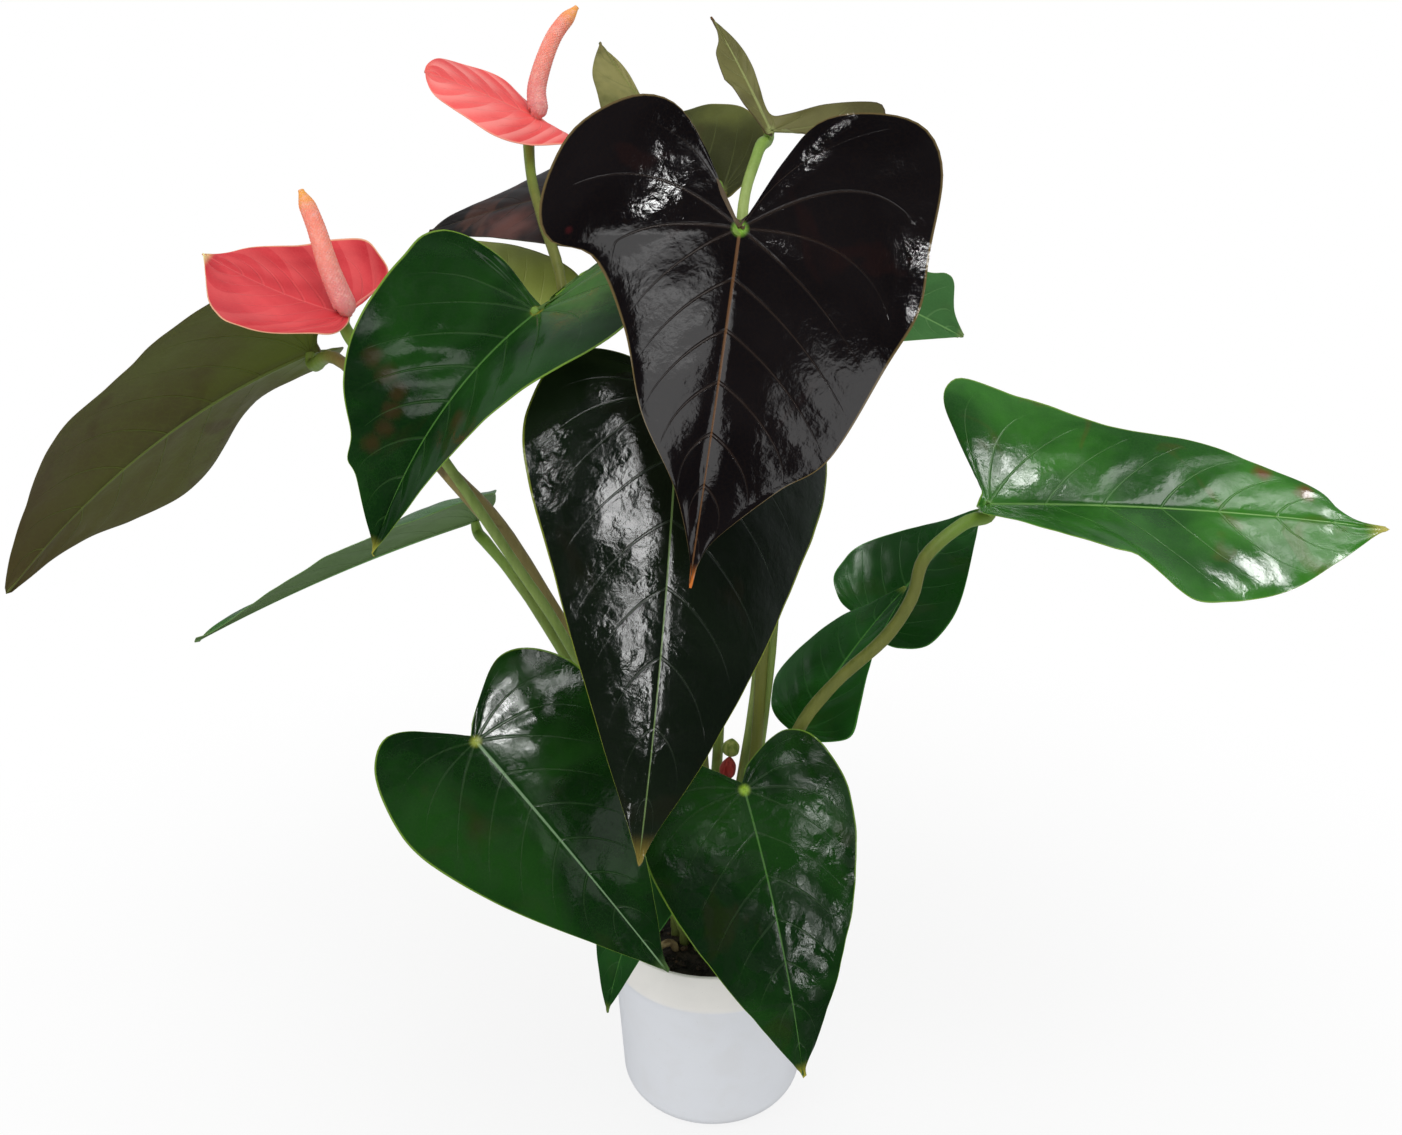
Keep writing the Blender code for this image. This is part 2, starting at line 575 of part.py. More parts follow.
def pot_inside():
    """from the middle of the floor up to the lip"""
    floor = FOOT_HEIGHT + POT_WALL
    inner_foot = WALL_FOOT_RADIUS - POT_WALL
    return [
        (0.0, floor),
        (inner_foot - FOOT_ROUNDING, floor),
        (inner_foot - 0.3 * FOOT_ROUNDING, floor + 0.3 * FOOT_ROUNDING),
        (inner_foot, floor + FOOT_ROUNDING),
        (RIM_RADIUS - POT_WALL - 0.3 * MM, POT_HEIGHT - LIP_ROUNDING),
        (RIM_RADIUS - 0.8 * POT_WALL, POT_HEIGHT - LIP_ROUNDING / 3),
    ]


def add_pot(group):
    profile = pot_outside() + pot_inside() + [pot_outside()[0]]
    return turned("pot", profile, POT_STEPS, "pot_white", group)


def soil_radius(height):
    """the pot's inner wall at a height, less the gap"""
    inside = pot_inside()
    heights = [z for _, z in inside[1:5]]
    radii = [r for r, _ in inside[1:5]]
    return float(np.interp(height, heights, radii)) - WALL_GAP


def soil_surface_points():
    """rings of lumpy ground from the middle to the pot's wall"""
    random = np.random.default_rng(SOIL_SEED)
    rings = []
    for ring in range(1, SOIL_RINGS + 1):
        radius = soil_radius(SOIL_LEVEL) * ring / SOIL_RINGS
        lumps = SOIL_LUMPS * random.uniform(-1, 1, SOIL_SECTORS)
        if ring == SOIL_RINGS:
            lumps = -abs(lumps) * 0.4
        line = []
        for sector in range(SOIL_SECTORS):
            turn = tau * (sector + 0.5 * (ring % 2)) / SOIL_SECTORS
            height = SOIL_LEVEL + lumps[sector]
            reach = min(radius, soil_radius(height))
            line.append((reach * cos(turn), reach * sin(turn), height))
        rings.append(line)
    return rings


def add_soil(group, cutters):
    rings = soil_surface_points()
    floor = FOOT_HEIGHT + POT_WALL + WALL_GAP
    lower = [
        (soil_radius(floor + FOOT_ROUNDING), floor + FOOT_ROUNDING),
        (soil_radius(floor + 0.3 * FOOT_ROUNDING), floor + 0.3 * FOOT_ROUNDING),
        (soil_radius(floor), floor),
    ]
    for radius, height in lower:
        turns = [tau * (sector + 0.5 * (SOIL_RINGS % 2)) / SOIL_SECTORS for sector in range(SOIL_SECTORS)]
        rings.append([((radius - GAP) * cos(turn), (radius - GAP) * sin(turn), height) for turn in turns])
    points = [(0, 0, SOIL_LEVEL)] + [place for line in rings for place in line] + [(0, 0, floor)]
    faces = []
    for sector in range(SOIL_SECTORS):
        after = (sector + 1) % SOIL_SECTORS
        faces.append((0, 1 + sector, 1 + after))
        for ring in range(len(rings) - 1):
            here = 1 + ring * SOIL_SECTORS
            below = here + SOIL_SECTORS
            faces += ring_faces(here + sector, here + after, below + sector, below + after, ring)
        last = 1 + (len(rings) - 1) * SOIL_SECTORS
        faces.append((last + sector, len(points) - 1, last + after))
    item = add_object("soil", mesh_from("soil", points, faces), "soil_brown", group)
    cut = item.modifiers.new("holes", "BOOLEAN")
    cut.operation = "DIFFERENCE"
    cut.operand_type = "COLLECTION"
    cut.collection = cutters
    return item


def ring_faces(here, here_after, below, below_after, ring):
    """two triangles between neighbouring rings, split to suit the half step between the upper ones"""
    if ring >= SOIL_RINGS - 1 or ring % 2 == 0:
        return [(here, below, here_after), (here_after, below, below_after)]
    return [(here, below, below_after), (here, below_after, here_after)]


def add_holes(stalks, cutters):
    """plain round holes for the stalks and the stem"""
    places = [(ring_place(stalk, 0), stalk.radius * MM * STALK_FOOT) for stalk in stalks]
    places += [(np.asarray(end, float) * MM, ROOT_RADIUS) for end in (ROOT_POINTS[0], ROOT_POINTS[-1])]
    places.append((np.zeros(3), STEM_RADIUS))
    widen = 1 / cos(pi / HOLE_SIDES)
    depth = SOCKET_DEPTH + GAP + HOLE_HEADROOM
    for number, (place, radius) in enumerate(places):
        bpy.ops.mesh.primitive_cone_add(
            vertices=HOLE_SIDES, depth=depth,
            radius1=(radius + GAP) * widen, radius2=(radius + 2.5 * GAP) * widen,
            location=(place[0], place[1], SOIL_LEVEL - SOCKET_DEPTH - GAP + depth / 2))
        hole = bpy.context.object
        hole.name = f"hole_{number}"
        hole.hide_render = True
        hole.display_type = "WIRE"
        for owner in list(hole.users_collection):
            owner.objects.unlink(hole)
        cutters.objects.link(hole)


def add_stem(group):
    """the short stem: a stout ringed peg that the stalks stand round"""
    foot = SOIL_LEVEL - SOCKET_DEPTH
    profile = [
        (0.0, STEM_TOP), (0.42 * STEM_RADIUS, STEM_TOP), (0.62 * STEM_RADIUS, STEM_TOP - 4 * MM),
        (0.86 * STEM_RADIUS, STEM_TOP - 8 * MM), (0.80 * STEM_RADIUS, STEM_TOP - 9 * MM),
        (STEM_RADIUS, STEM_TOP - 14 * MM), (STEM_RADIUS, foot), (0.0, foot),
    ]
    return turned("stem", profile, 14, "stem_brown", group)


def across_axes(direction):
    side = unit(np.cross(direction, (0.0, 1.0, 0.3)))
    return side, np.cross(direction, side)


def add_spadix(spadix, blades, group):
    """rings of alternate knobs round a smooth middle line, closed at the foot and the tip"""
    blade = blades[spadix.spathe]
    normal = joint_normal(blade)
    seat = joint_seat(blade, 1, SPADIX_FOOT_RADIUS, SEAT_GAP)
    given = [seat + SPADIX_RISE * normal] + [np.asarray(p, float) * MM for p in spadix.via + (spadix.tip,)]
    line = np.vstack((seat, smooth_through(given, SPADIX_RINGS - 1)))
    points = []
    for ring, place in enumerate(line):
        ahead = unit(line[min(ring + 1, len(line) - 1)] - line[max(ring - 1, 0)])
        if ring == 0:
            ahead = normal
        side, over = across_axes(ahead)
        share = ring / (SPADIX_RINGS - 1)
        radius = (spadix.radius + (spadix.tip_radius - spadix.radius) * share) * MM
        radius *= min(1.0, (1.12 - share) ** 0.5 / 0.5) if share > 0.86 else 1.0
        radius *= SPADIX_NECK if ring == 1 else 1.0
        radius = SPADIX_FOOT_RADIUS if ring == 0 else radius
        for step in range(SPADIX_SIDES):
            turn = tau * step / SPADIX_SIDES
            knob = SPADIX_KNOB if 0 < ring < SPADIX_RINGS - 1 and (ring + step) % 2 else 0.0
            points.append(place + (radius + knob) * (cos(turn) * side + sin(turn) * over))
    points.append(line[0])
    points.append(line[-1] + SPADIX_END * unit(line[-1] - line[-2]))
    faces = []
    last = (SPADIX_RINGS - 1) * SPADIX_SIDES
    for step in range(SPADIX_SIDES):
        after = (step + 1) % SPADIX_SIDES
        faces.append((len(points) - 2, after, step))
        faces.append((len(points) - 1, last + step, last + after))
        for ring in range(SPADIX_RINGS - 1):
            here = ring * SPADIX_SIDES
            above = here + SPADIX_SIDES
            faces.append((here + step, here + after, above + after))
            faces.append((here + step, above + after, above + step))
    mesh = mesh_from(spadix.name, points, faces)
    fix_outward(mesh)
    return add_object(spadix.name, mesh, "spadix_pink", group)


def fix_outward(mesh):
    form = bmesh.new()
    form.from_mesh(mesh)
    bmesh.ops.recalc_face_normals(form, faces=form.faces)
    form.to_mesh(mesh)
    form.free()


def egg(name, foot, radius, height, lean, colour, group):
    """a pointed egg standing on foot, a turned profile set along lean"""
    profile = [(0.0, height), (0.30 * radius, 0.93 * height), (0.70 * radius, 0.72 * height),
               (radius, 0.42 * height), (0.80 * radius, 0.15 * height), (0.45 * radius, 0.0), (0.0, 0.0)]
    item = turned(name, profile, 12, colour, group)
    item.location = foot
    item.rotation_mode = "QUATERNION"
    item.rotation_quaternion = Vector((0, 0, 1)).rotation_difference(Vector(lean))
    return item


def add_bud(group):
    """a rolled red bud with a green tip over it, on its own stalk"""
    foot = np.asarray(BUD_FOOT, float) * MM
    lean = unit(BUD_LEAN)
    seat = np.array([0.0, 0.0, STEM_TOP + GAP])
    via = [np.asarray(place) * MM for place in BUD_ROUTE]
    route = np.vstack((seat, smooth_through(via + [foot - 4 * MM * lean], 6), foot))
    tube("flower_bud_stalk", route, [BUD_STALK_RADIUS] * len(route), "stalk_green", group)
    red_radius, red_height = BUD_RED[0] * MM, BUD_RED[1] * MM
    egg("flower_bud_red", foot + GAP * lean, red_radius, red_height, lean, "bud_red", group)
    green_foot = foot + (red_height + 2 * GAP) * lean
    egg("flower_bud_green", green_foot, BUD_GREEN[0] * MM, BUD_GREEN[1] * MM, lean, "bud_green", group)


def add_root(group):
    route = smooth_through(np.asarray(ROOT_POINTS) * MM, 9)
    radii = ROOT_RADIUS * np.linspace(1.0, 0.8, len(route))
    return tube("aerial_root", route, radii, "root_tan", group)


def build():
    clear_scene()
    plant = new_collection("potted_anthurium")
    cutters = new_collection("cutters")
    blades = {blade.name: blade for blade in BLADES + SPATHES}
    add_pot(plant)
    add_holes(STALKS, cutters)
    add_soil(plant, cutters)
    add_stem(plant)
    for blade in BLADES:
        add_blade(blade, blade.name + "_blade", plant)
    for spathe in SPATHES:
        add_blade(spathe, spathe.name, plant)
    for stalk in STALKS:
        add_stalk(stalk, blades, stalk.blade.replace("_spathe", "") + "_stalk", plant)
    for spadix in SPADICES:
        add_spadix(spadix, blades, plant)
    add_bud(plant)
    add_root(plant)


build()
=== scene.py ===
"""A studio view of a potted anthurium: veined leaves, waxy flowers, stalks, soil and a plain white pot."""

import json
from collections import namedtuple
from math import cos, pi, radians, sin, tau

import bmesh
import bpy
import numpy as np
from mathutils import Matrix, Vector, noise

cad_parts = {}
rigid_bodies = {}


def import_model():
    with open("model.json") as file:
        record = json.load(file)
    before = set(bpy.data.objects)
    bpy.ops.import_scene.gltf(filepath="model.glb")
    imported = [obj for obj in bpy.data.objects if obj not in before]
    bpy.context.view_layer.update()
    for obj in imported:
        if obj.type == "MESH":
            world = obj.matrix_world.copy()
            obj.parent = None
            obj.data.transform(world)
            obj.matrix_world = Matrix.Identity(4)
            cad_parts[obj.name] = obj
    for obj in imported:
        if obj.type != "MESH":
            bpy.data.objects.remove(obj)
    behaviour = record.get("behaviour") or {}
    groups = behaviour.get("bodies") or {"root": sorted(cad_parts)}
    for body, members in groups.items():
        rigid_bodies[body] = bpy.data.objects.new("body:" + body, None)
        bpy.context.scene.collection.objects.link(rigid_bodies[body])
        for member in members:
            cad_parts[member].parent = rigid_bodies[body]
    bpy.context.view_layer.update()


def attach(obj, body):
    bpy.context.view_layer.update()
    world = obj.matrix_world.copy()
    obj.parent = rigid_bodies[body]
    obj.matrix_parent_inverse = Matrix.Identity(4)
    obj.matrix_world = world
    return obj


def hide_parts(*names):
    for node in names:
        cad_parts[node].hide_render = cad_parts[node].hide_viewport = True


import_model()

MM = 0.001

# The pot and the soil
POT_HEIGHT = 115 * MM
POT_WALL = 2.2 * MM
RIM_RADIUS = 60 * MM
RIM_BAND = 25 * MM
RIM_STEP = 1.2 * MM
WALL_TOP_RADIUS = 57.6 * MM
WALL_FOOT_RADIUS = 53 * MM
FOOT_RADIUS = 42 * MM
FOOT_HEIGHT = 2.5 * MM
FOOT_ROUNDING = 12 * MM
POT_STEPS = 128
SOIL_LEVEL = 103 * MM
SOIL_RADIUS = 56.6 * MM
SOIL_RINGS = 46
SOIL_SECTORS = 120
SOIL_LUMPS = 1.4 * MM
SOIL_NOISE = ((1.0, 17, 3), (0.6, 6, 4), (0.4, 2.6, 8))
CRUMBS = 420
CRUMB_SIZES = (0.8 * MM, 2.3 * MM)
CRUMB_SEED = 5
STEM_RADIUS = 6 * MM
STEM_TOP = 118 * MM
STEM_RINGS = 9
STEM_STEPS = 40
STEM_SIDES = 30
SOCKET_DEPTH = 14 * MM
INNER_RING = 11.5 * MM
OUTER_RING = 21.5 * MM

# How finely the blades, stalks and spadices are drawn
NOTCH_SHARE = 0.03
VEIN_LEAN = 0.55
TUCK_SHARE = 0.8
FAN_ROWS = 42
RIB_ROWS = 70
SHARES = (0, 0.012, 0.03, 0.06, 0.1, 0.15, 0.2, 0.26, 0.32, 0.38, 0.44, 0.5, 0.56, 0.62, 0.68, 0.74, 0.8,
          0.86, 0.91, 0.95, 0.98, 0.993, 1)
OUTLINE_STEPS = 480
LOBE_VEINS = 4
RIB_VEINS = 7
BLADE_THICKNESS = 0.7 * MM
MARGIN_THICKNESS = 0.3 * MM
RIB_RIDGE = 1.3 * MM
RIB_GROOVE = 0.35 * MM
RIB_STEP = 20 * MM
STALK_STEPS = 46
STALK_SIDES = 18
STALK_NECK = 0.2
STALK_APPROACH = 8 * MM
COLLAR_HEIGHT = 8 * MM
SPADIX_RINGS = 190
SPADIX_SIDES = 96
SPADIX_KNOBS = 17
KNOB_PITCH = 1.7 * MM
KNOB_HEIGHT = 0.42 * MM
BUD_STALK_STEPS = 30
BUD_STALK_SIDES = 14
BUD_STEPS = 22
BUD_SIDES = 28

# One half of a blade, in millimetres and degrees: width is its widest place, and its shape is an outline of
# its own points or half a heart. There, lobe is how far the half reaches back past the joint, gap how far the
# notch opens, shoulder how far the widest place lies from the joint, and waist how full the half stays below.
Half = namedtuple("Half", "width fold curl shape tuck", defaults=(0,))
Heart = namedtuple("Heart", "lobe gap shoulder waist")

# A blade hangs from joint to tip (places in millimetres) with its upper side to face. bend arches the rib,
# back turns the lobes, wave lifts the edge.
Blade = namedtuple(
    "Blade", "name joint tip face bend back left right wave waves paint", defaults=(1.5, 3, "green"))

# A stalk rises at an angle round the pot's axis, on a ring, and passes through the places in via
Stalk = namedtuple("Stalk", "blade angle ring via radius paint", defaults=(2.8, "stalk_green"))

BLACK_TOP_LEFT = (
    (-6, 6), (-29, 17), (-45, 31), (-47, 48), (-35, 67), (-18, 75), (0, 77), (12, 71),
    (17, 53), (42, 38), (73, 27), (99, 11), (122, 2),
)
BLACK_TOP_RIGHT = (
    (-7, 3), (-30, 13), (-48, 26), (-55, 49), (-53, 68), (-38, 77), (-8, 76), (17, 74),
    (42, 63), (80, 46), (95, 28), (115, 8), (126, 2),
)
YOUNG_WING = (
    (2, 5), (-8, 16), (-20, 50), (-6, 60), (3, 34), (5, 13), (9, 4), (25, 5), (38, 6), (54, 5),
)
YOUNG_BLADE = ((-1, 2), (2, 4), (14, 7), (30, 9), (34, 12), (50, 9), (60, 3))
LONG_UPPER = (
    (-3, 10), (-11, 32), (-20, 64), (-17, 80), (-7, 84), (20, 70), (64, 50), (102, 44), (132, 32),
    (162, 19), (171, 9), (180, 2),
)
LONG_LOWER = (
    (-5, 12), (-6, 28), (1, 43), (18, 56), (36, 55), (51, 51), (62, 49), (70, 55), (78, 62), (88, 63),
    (104, 57), (141, 41), (167, 22), (188, 4),
)
LEFT_OUTER = (
    (-5, 11), (-9, 30), (-5, 52), (6, 64), (22, 61), (51, 54), (72, 45), (88, 32), (98, 27), (103, 18),
    (119, 6),
)
BACK_LOWER = ((-6, 15), (-1, 25), (9, 33), (24, 35), (41, 31), (64, 20), (88, 7))
BACK_UPPER = ((-3, 13), (-2, 26), (7, 40), (20, 44), (37, 40), (71, 18), (89, 8))
SMALL_LOWER = ((-3, 12), (1, 22), (9, 29), (23, 26), (44, 17), (56, 13), (79, 8))
SMALL_UPPER = ((-3, 8), (1, 21), (10, 30), (25, 38), (45, 32), (76, 21), (90, 10))
FAR_LOWER = (
    (-6, 8), (-14, 22), (0, 34), (20, 32), (38, 36), (59, 50), (88, 67), (115, 64), (140, 47), (164, 23),
)
FAR_UPPER = (
    (-8, 8), (-24, 30), (-22, 62), (8, 84), (45, 82), (72, 66), (98, 60), (122, 60), (144, 48), (167, 26),
)
TALL_UPPER = (
    (-6, 4), (-6, 18), (5, 35), (21, 42), (39, 41), (54, 30), (61, 14), (70, 6), (84, 3), (100, 3), (115, 2),
)
TALL_LOWER = ((-8, 11), (-5, 25), (19, 34), (53, 34), (82, 26), (102, 18), (115, 10))
TOP_SPATHE_FAR = ((-4, 7), (-5, 14), (0, 17), (8, 19), (18, 26), (30, 30), (42, 28), (52, 21), (57, 9))
TOP_SPATHE_NEAR = ((-10, 3), (-20, 4), (-22, 12), (-10, 21), (7, 31), (22, 35), (38, 29), (50, 21), (56, 11))
LEFT_SPATHE_FAR = (
    (0, 9), (-4, 22), (-8, 35), (-7, 44), (0, 51), (9, 56), (23, 51), (35, 40), (51, 25), (60, 9),
)
LEFT_SPATHE_NEAR = ((-3, 8), (0, 21), (8, 29), (21, 39), (33, 46), (41, 49), (51, 36), (60, 16))
BLUNT_END = ((-3, 3), (-11, 9), (-9, 20), (6, 26), (30, 24), (52, 20), (64, 24), (71, 22), (76, 9))

BLADES = (
    Blade("leaf_black_top", (8, -132, 508), (-11, -174, 381), (0.05, -0.95, 0.3), 14, -6,
          Half(77, -3, -14, BLACK_TOP_LEFT), Half(77, -3, -12, BLACK_TOP_RIGHT), paint="black"),
    Blade("leaf_black_front", (-16, -104, 440), (-31, -191, 271), (0.2, -0.88, 0.42), 28, 19,
          Half(63, -4, -24, Heart(22, 13, 22, 0.70)), Half(78, -3, -38, Heart(58, 10, 18, 0.72)),
          1.5, 4, "black"),
    Blade("leaf_left", (-78, -63, 468), (-147, -108, 371), (-0.45, -0.64, 0.62), 46, -46,
          Half(62, 23, 9, LEFT_OUTER), Half(55, 14, -7, Heart(62, 0, 6, 0.71))),
    Blade("leaf_right_long", (138, -14, 366), (331, -33, 359), (0.0, -0.5, 0.86), 12, 22,
          Half(78, -14, 0, LONG_LOWER, 52), Half(87, 12, -26, LONG_UPPER, 8), 1.2),
    Blade("leaf_right_back", (97, 73, 267), (168, 119, 324), (-0.05, -0.62, 0.78), 20, 17,
          Half(36, 4, -14, BACK_LOWER), Half(48, -2, -16, BACK_UPPER)),
    Blade("leaf_right_small", (48, -7, 237), (112, 56, 296), (-0.3, -0.46, 0.84), 24, 18,
          Half(31, 8, -10, SMALL_LOWER), Half(48, -3, -24, SMALL_UPPER), 1.2),
    Blade("leaf_low_right", (15, -71, 236), (44, -119, 102), (0.23, -0.9, 0.37), 38, 22,
          Half(57, -7, -26, Heart(25, 12, 18, 0.77)), Half(58, -6, -14, Heart(26, 8, 17, 0.76)), 1.0),
    Blade("leaf_low_left", (-114, -81, 268), (-22, -122, 167), (0.25, -0.8, 0.55), 22, 18,
          Half(55, -4, -13, Heart(32, 12, 18, 0.75), -5), Half(64, -2, -8, Heart(27, 13, 10, 0.70)), 1.2),
    Blade("leaf_low_small", (-24, -46, 196), (-55, -87, 115), (-0.43, -0.74, 0.52), 30, 18,
          Half(38, 2, -14, Heart(18, 5, 10, 0.75)), Half(27, 4, -14, Heart(20, 5, 8, 0.72)), 1.0, 3, "light"),
    Blade("leaf_far_left", (-219, 61, 430), (-370, -6, 315), (-0.64, 0.53, 0.55), 38, -34,
          Half(76, 5, 4, FAR_LOWER, 14), Half(100, 8, -60, FAR_UPPER, 8), paint="olive"),
    Blade("leaf_edge_left", (-130, 32, 344), (-269, -20, 294), (-0.33, -0.22, 0.91), 12, 18,
          Half(58, -10, -34, Heart(20, 8, 22, 0.80), 18), Half(36, 44, -6, Heart(12, 6, 20, 0.66))),
    Blade("leaf_back_tall", (5, 80, 513), (-64, 150, 591), (0.3, -0.6, 0.75), -16, 15,
          Half(44, 2, 10, TALL_UPPER, 34), Half(34, -2, -12, TALL_LOWER), 2.0, 3, "olive"),
    Blade("leaf_young", (29, 59, 543), (-1, 98, 600), (0.15, -0.85, 0.5), 14, 16,
          Half(60, 6, 0, YOUNG_WING), Half(14, 4, 8, YOUNG_BLADE), 1.0, 3, "young"),
    Blade("leaf_back_left", (-30, 51, 522), (-150, 62, 493), (-0.24, -0.53, 0.81), 12, 18,
          Half(50, -6, -10, Heart(24, 6, 12, 0.74)), Half(52, 3, -11, Heart(24, 6, 12, 0.82)), paint="black"),
    Blade("leaf_olive_left", (-94, 34, 448), (-158, 98, 486), (-0.1, -0.65, 0.75), 24, 18,
          Half(38, 4, -12, Heart(20, 6, 12, 0.82)), Half(40, 0, -15, Heart(20, 6, 11, 0.74)),
          1.2, 3, "olive"),
    Blade("leaf_back_right", (47, -16, 482), (123, 3, 447), (0.2, -0.9, 0.3), 20, 18,
          Half(30, 0, -10, Heart(14, 5, 10, 0.74)), Half(26, 3, -6, BLUNT_END), 1.0),
)

STALKS = (
    Stalk("leaf_black_top", -20, INNER_RING, ((24, -6, 230), (27, -12, 400), (17, -72, 492)),
          3.3, "stalk_olive"),
    Stalk("leaf_black_front", 295, INNER_RING, ((-6, -14, 230), (-10, -34, 390)), 3.0, "stalk_olive"),
    Stalk("leaf_left", 250, INNER_RING, ((-24, -14, 230), (-47, -36, 390)), 3.0),
    Stalk("leaf_right_long", -24, OUTER_RING,
          ((36, -24, 205), (44, -30, 247), (62, -31, 275), (87, -28, 299), (100, -26, 320), (106, -23, 341),
           (125, -18, 357)), 3.3, "stalk_olive"),
    Stalk("leaf_right_back", 28, OUTER_RING, ((40, 30, 180), (78, 60, 234)), 2.4),
    Stalk("leaf_right_small", 2, OUTER_RING, ((34, 1, 170), (46, -2, 214)), 2.2),
    Stalk("leaf_low_right", -75, OUTER_RING, ((11, -32, 170), (13, -48, 218)), 2.6),
    Stalk("leaf_low_left", 222, OUTER_RING, ((-46, -15, 188), (-88, -42, 246)), 2.6),
    Stalk("leaf_low_small", 248, OUTER_RING, ((-15, -24, 150), (-19, -31, 180)), 2.2),
    Stalk("leaf_far_left", 205, INNER_RING,
          ((-35, 1, 201), (-79, 6, 290), (-108, -5, 347), (-134, -13, 384), (-190, 22, 431)), 3.3,
          "stalk_brown"),
    Stalk("leaf_edge_left", 172, OUTER_RING,
          ((-42, 13, 190), (-87, 15, 281), (-107, 17, 315), (-122, 23, 333))),
    Stalk("leaf_back_tall", 115, INNER_RING, ((4, 20, 230), (6, 44, 400)), 3.0),
    Stalk("leaf_young", 70, INNER_RING, ((26, 9, 283), (20, 24, 420), (14, 32, 498), (22, 49, 532)),
          paint="stalk_bright"),
    Stalk("leaf_back_left", 160, INNER_RING, ((-10, 18, 230), (-20, 34, 410)), 3.0),
    Stalk("leaf_olive_left", 148, OUTER_RING, ((-34, 26, 230), (-68, 36, 376)), 2.6),
    Stalk("leaf_back_right", 25, INNER_RING, ((28, 2, 240), (38, -4, 400))),
    Stalk("flower_top_spathe", 125, OUTER_RING,
          ((-26, 8, 240), (-48, 2, 340), (-69, -8, 420), (-74, -2, 475), (-85, 23, 502), (-92, 42, 522)),
          2.6, "stalk_olive"),
    Stalk("flower_left_spathe", 195, OUTER_RING,
          ((-42, -9, 210), (-77, -11, 290), (-100, -20, 336), (-129, -34, 393), (-161, -34, 440)), 2.6),
)

# The two spathes are blades of their own colour
SPATHES = (
    Blade("flower_top_spathe", (-91, 61, 550), (-143, 47, 571), (0.1, -0.4, 0.9), 6, -7,
          Half(31, -4, 4, TOP_SPATHE_FAR), Half(34, 3, -18, TOP_SPATHE_NEAR), 1.0, 3, "salmon"),
    Blade("flower_left_spathe", (-171, -31, 463), (-231, -37, 491), (0.15, -0.45, 0.88), -24, 12,
          Half(41, -14, 24, LEFT_SPATHE_FAR), Half(36, 6, 12, LEFT_SPATHE_NEAR), 0.8, 3, "coral"),
)

# The spadices: the spathe on whose joint they stand, and the places that their middle line passes
Spadix = namedtuple("Spadix", "name spathe via radius tip_radius")
SPADICES = (
    Spadix("flower_top_spadix", "flower_top_spathe",
           ((-90, 67, 566), (-82, 75, 588), (-70, 81, 603)), 5.2, 3.4),
    Spadix("flower_left_spadix", "flower_left_spathe",
           ((-178, -26, 483), (-185, -17, 501), (-192, -11, 517)), 5.4, 3.7),
)

# The young flower bud, still rolled up, deep among the stalks; its stalk stands on the short stem
BUD_STALK_RADIUS = 2.0 * MM
BUD_ROUTE = ((0, 0, 124), (3, 3, 160), (7, 4, 188))
BUD_FOOT = (8, 4, 200)
BUD_LEAN = (0.12, 0.05, 1.0)

# The bud's red body and the green tip on it: radius, height, low and high colour
BUD_PARTS = {
    "red": (4.6 * MM, 14 * MM, (0.30, 0.012, 0.016), (0.58, 0.07, 0.06)),
    "green": (5.0 * MM, 11 * MM, (0.16, 0.24, 0.035), (0.42, 0.46, 0.12)),
}

# An old aerial root that lies over the soil
ROOT_POINTS = (
    (-21, -20, 94), (-21, -20, 104), (-24, -23, 110.5),
    (-30.3, -28.3, 110.5), (-33.3, -31.3, 104), (-33.3, -31.3, 94),
)
ROOT_RADIUS = 2.2 * MM
ROOT_STEPS = 40
ROOT_SIDES = 20

# The joints' stars, where they differ from the rib
JOINT_COLOURS = {
    "leaf_black_top": (0.26, 0.55, 0.05),
    "leaf_left": (0.40, 0.30, 0.035),
    "leaf_low_left": (0.36, 0.42, 0.05),
    "leaf_low_right": (0.36, 0.58, 0.03),
}

# Stalks that swell: how much, at what share of the run, and how far
SWELLINGS = {"leaf_far_left": (0.55, 0.63, 0.07)}

# Camera, floor and room; the image is 1402 pixels wide
IMAGE_WIDTH = 1402
FOCAL_PIXELS = 1214
SENSOR_WIDTH = 36.0
CAMERA_PLACE = (-0.0065, -0.60, 0.54)
CAMERA_PITCH = 19.5
FLOOR_RADIUS = 6.0
FLOOR_STEPS = 96
WHITE = (1.0, 1.0, 1.0)
WHITE_LEVEL = 1.0
AMBIENT_LEVEL = 0.80
ROOM_TINT = (0.92, 0.96, 1.0)
ROOM_FRONT = 0.03
ROOM_BACK = 0.28

# Lights: the place they shine at, the direction they stand in, how far off, width, height and brightness
Light = namedtuple("Light", "name aim direction distance width height brightness")
MIDDLE = (0.0, -0.05, 0.36)

# Lamps that light only the matt colour of things
SOFT_LAMPS = (
    Light("soft_above", MIDDLE, (0.10, -0.45, 0.90), 1.7, 1.3, 1.1, 2.3),
    Light("soft_left", MIDDLE, (-0.80, -0.55, 0.35), 1.6, 0.8, 0.8, 1.4),
)

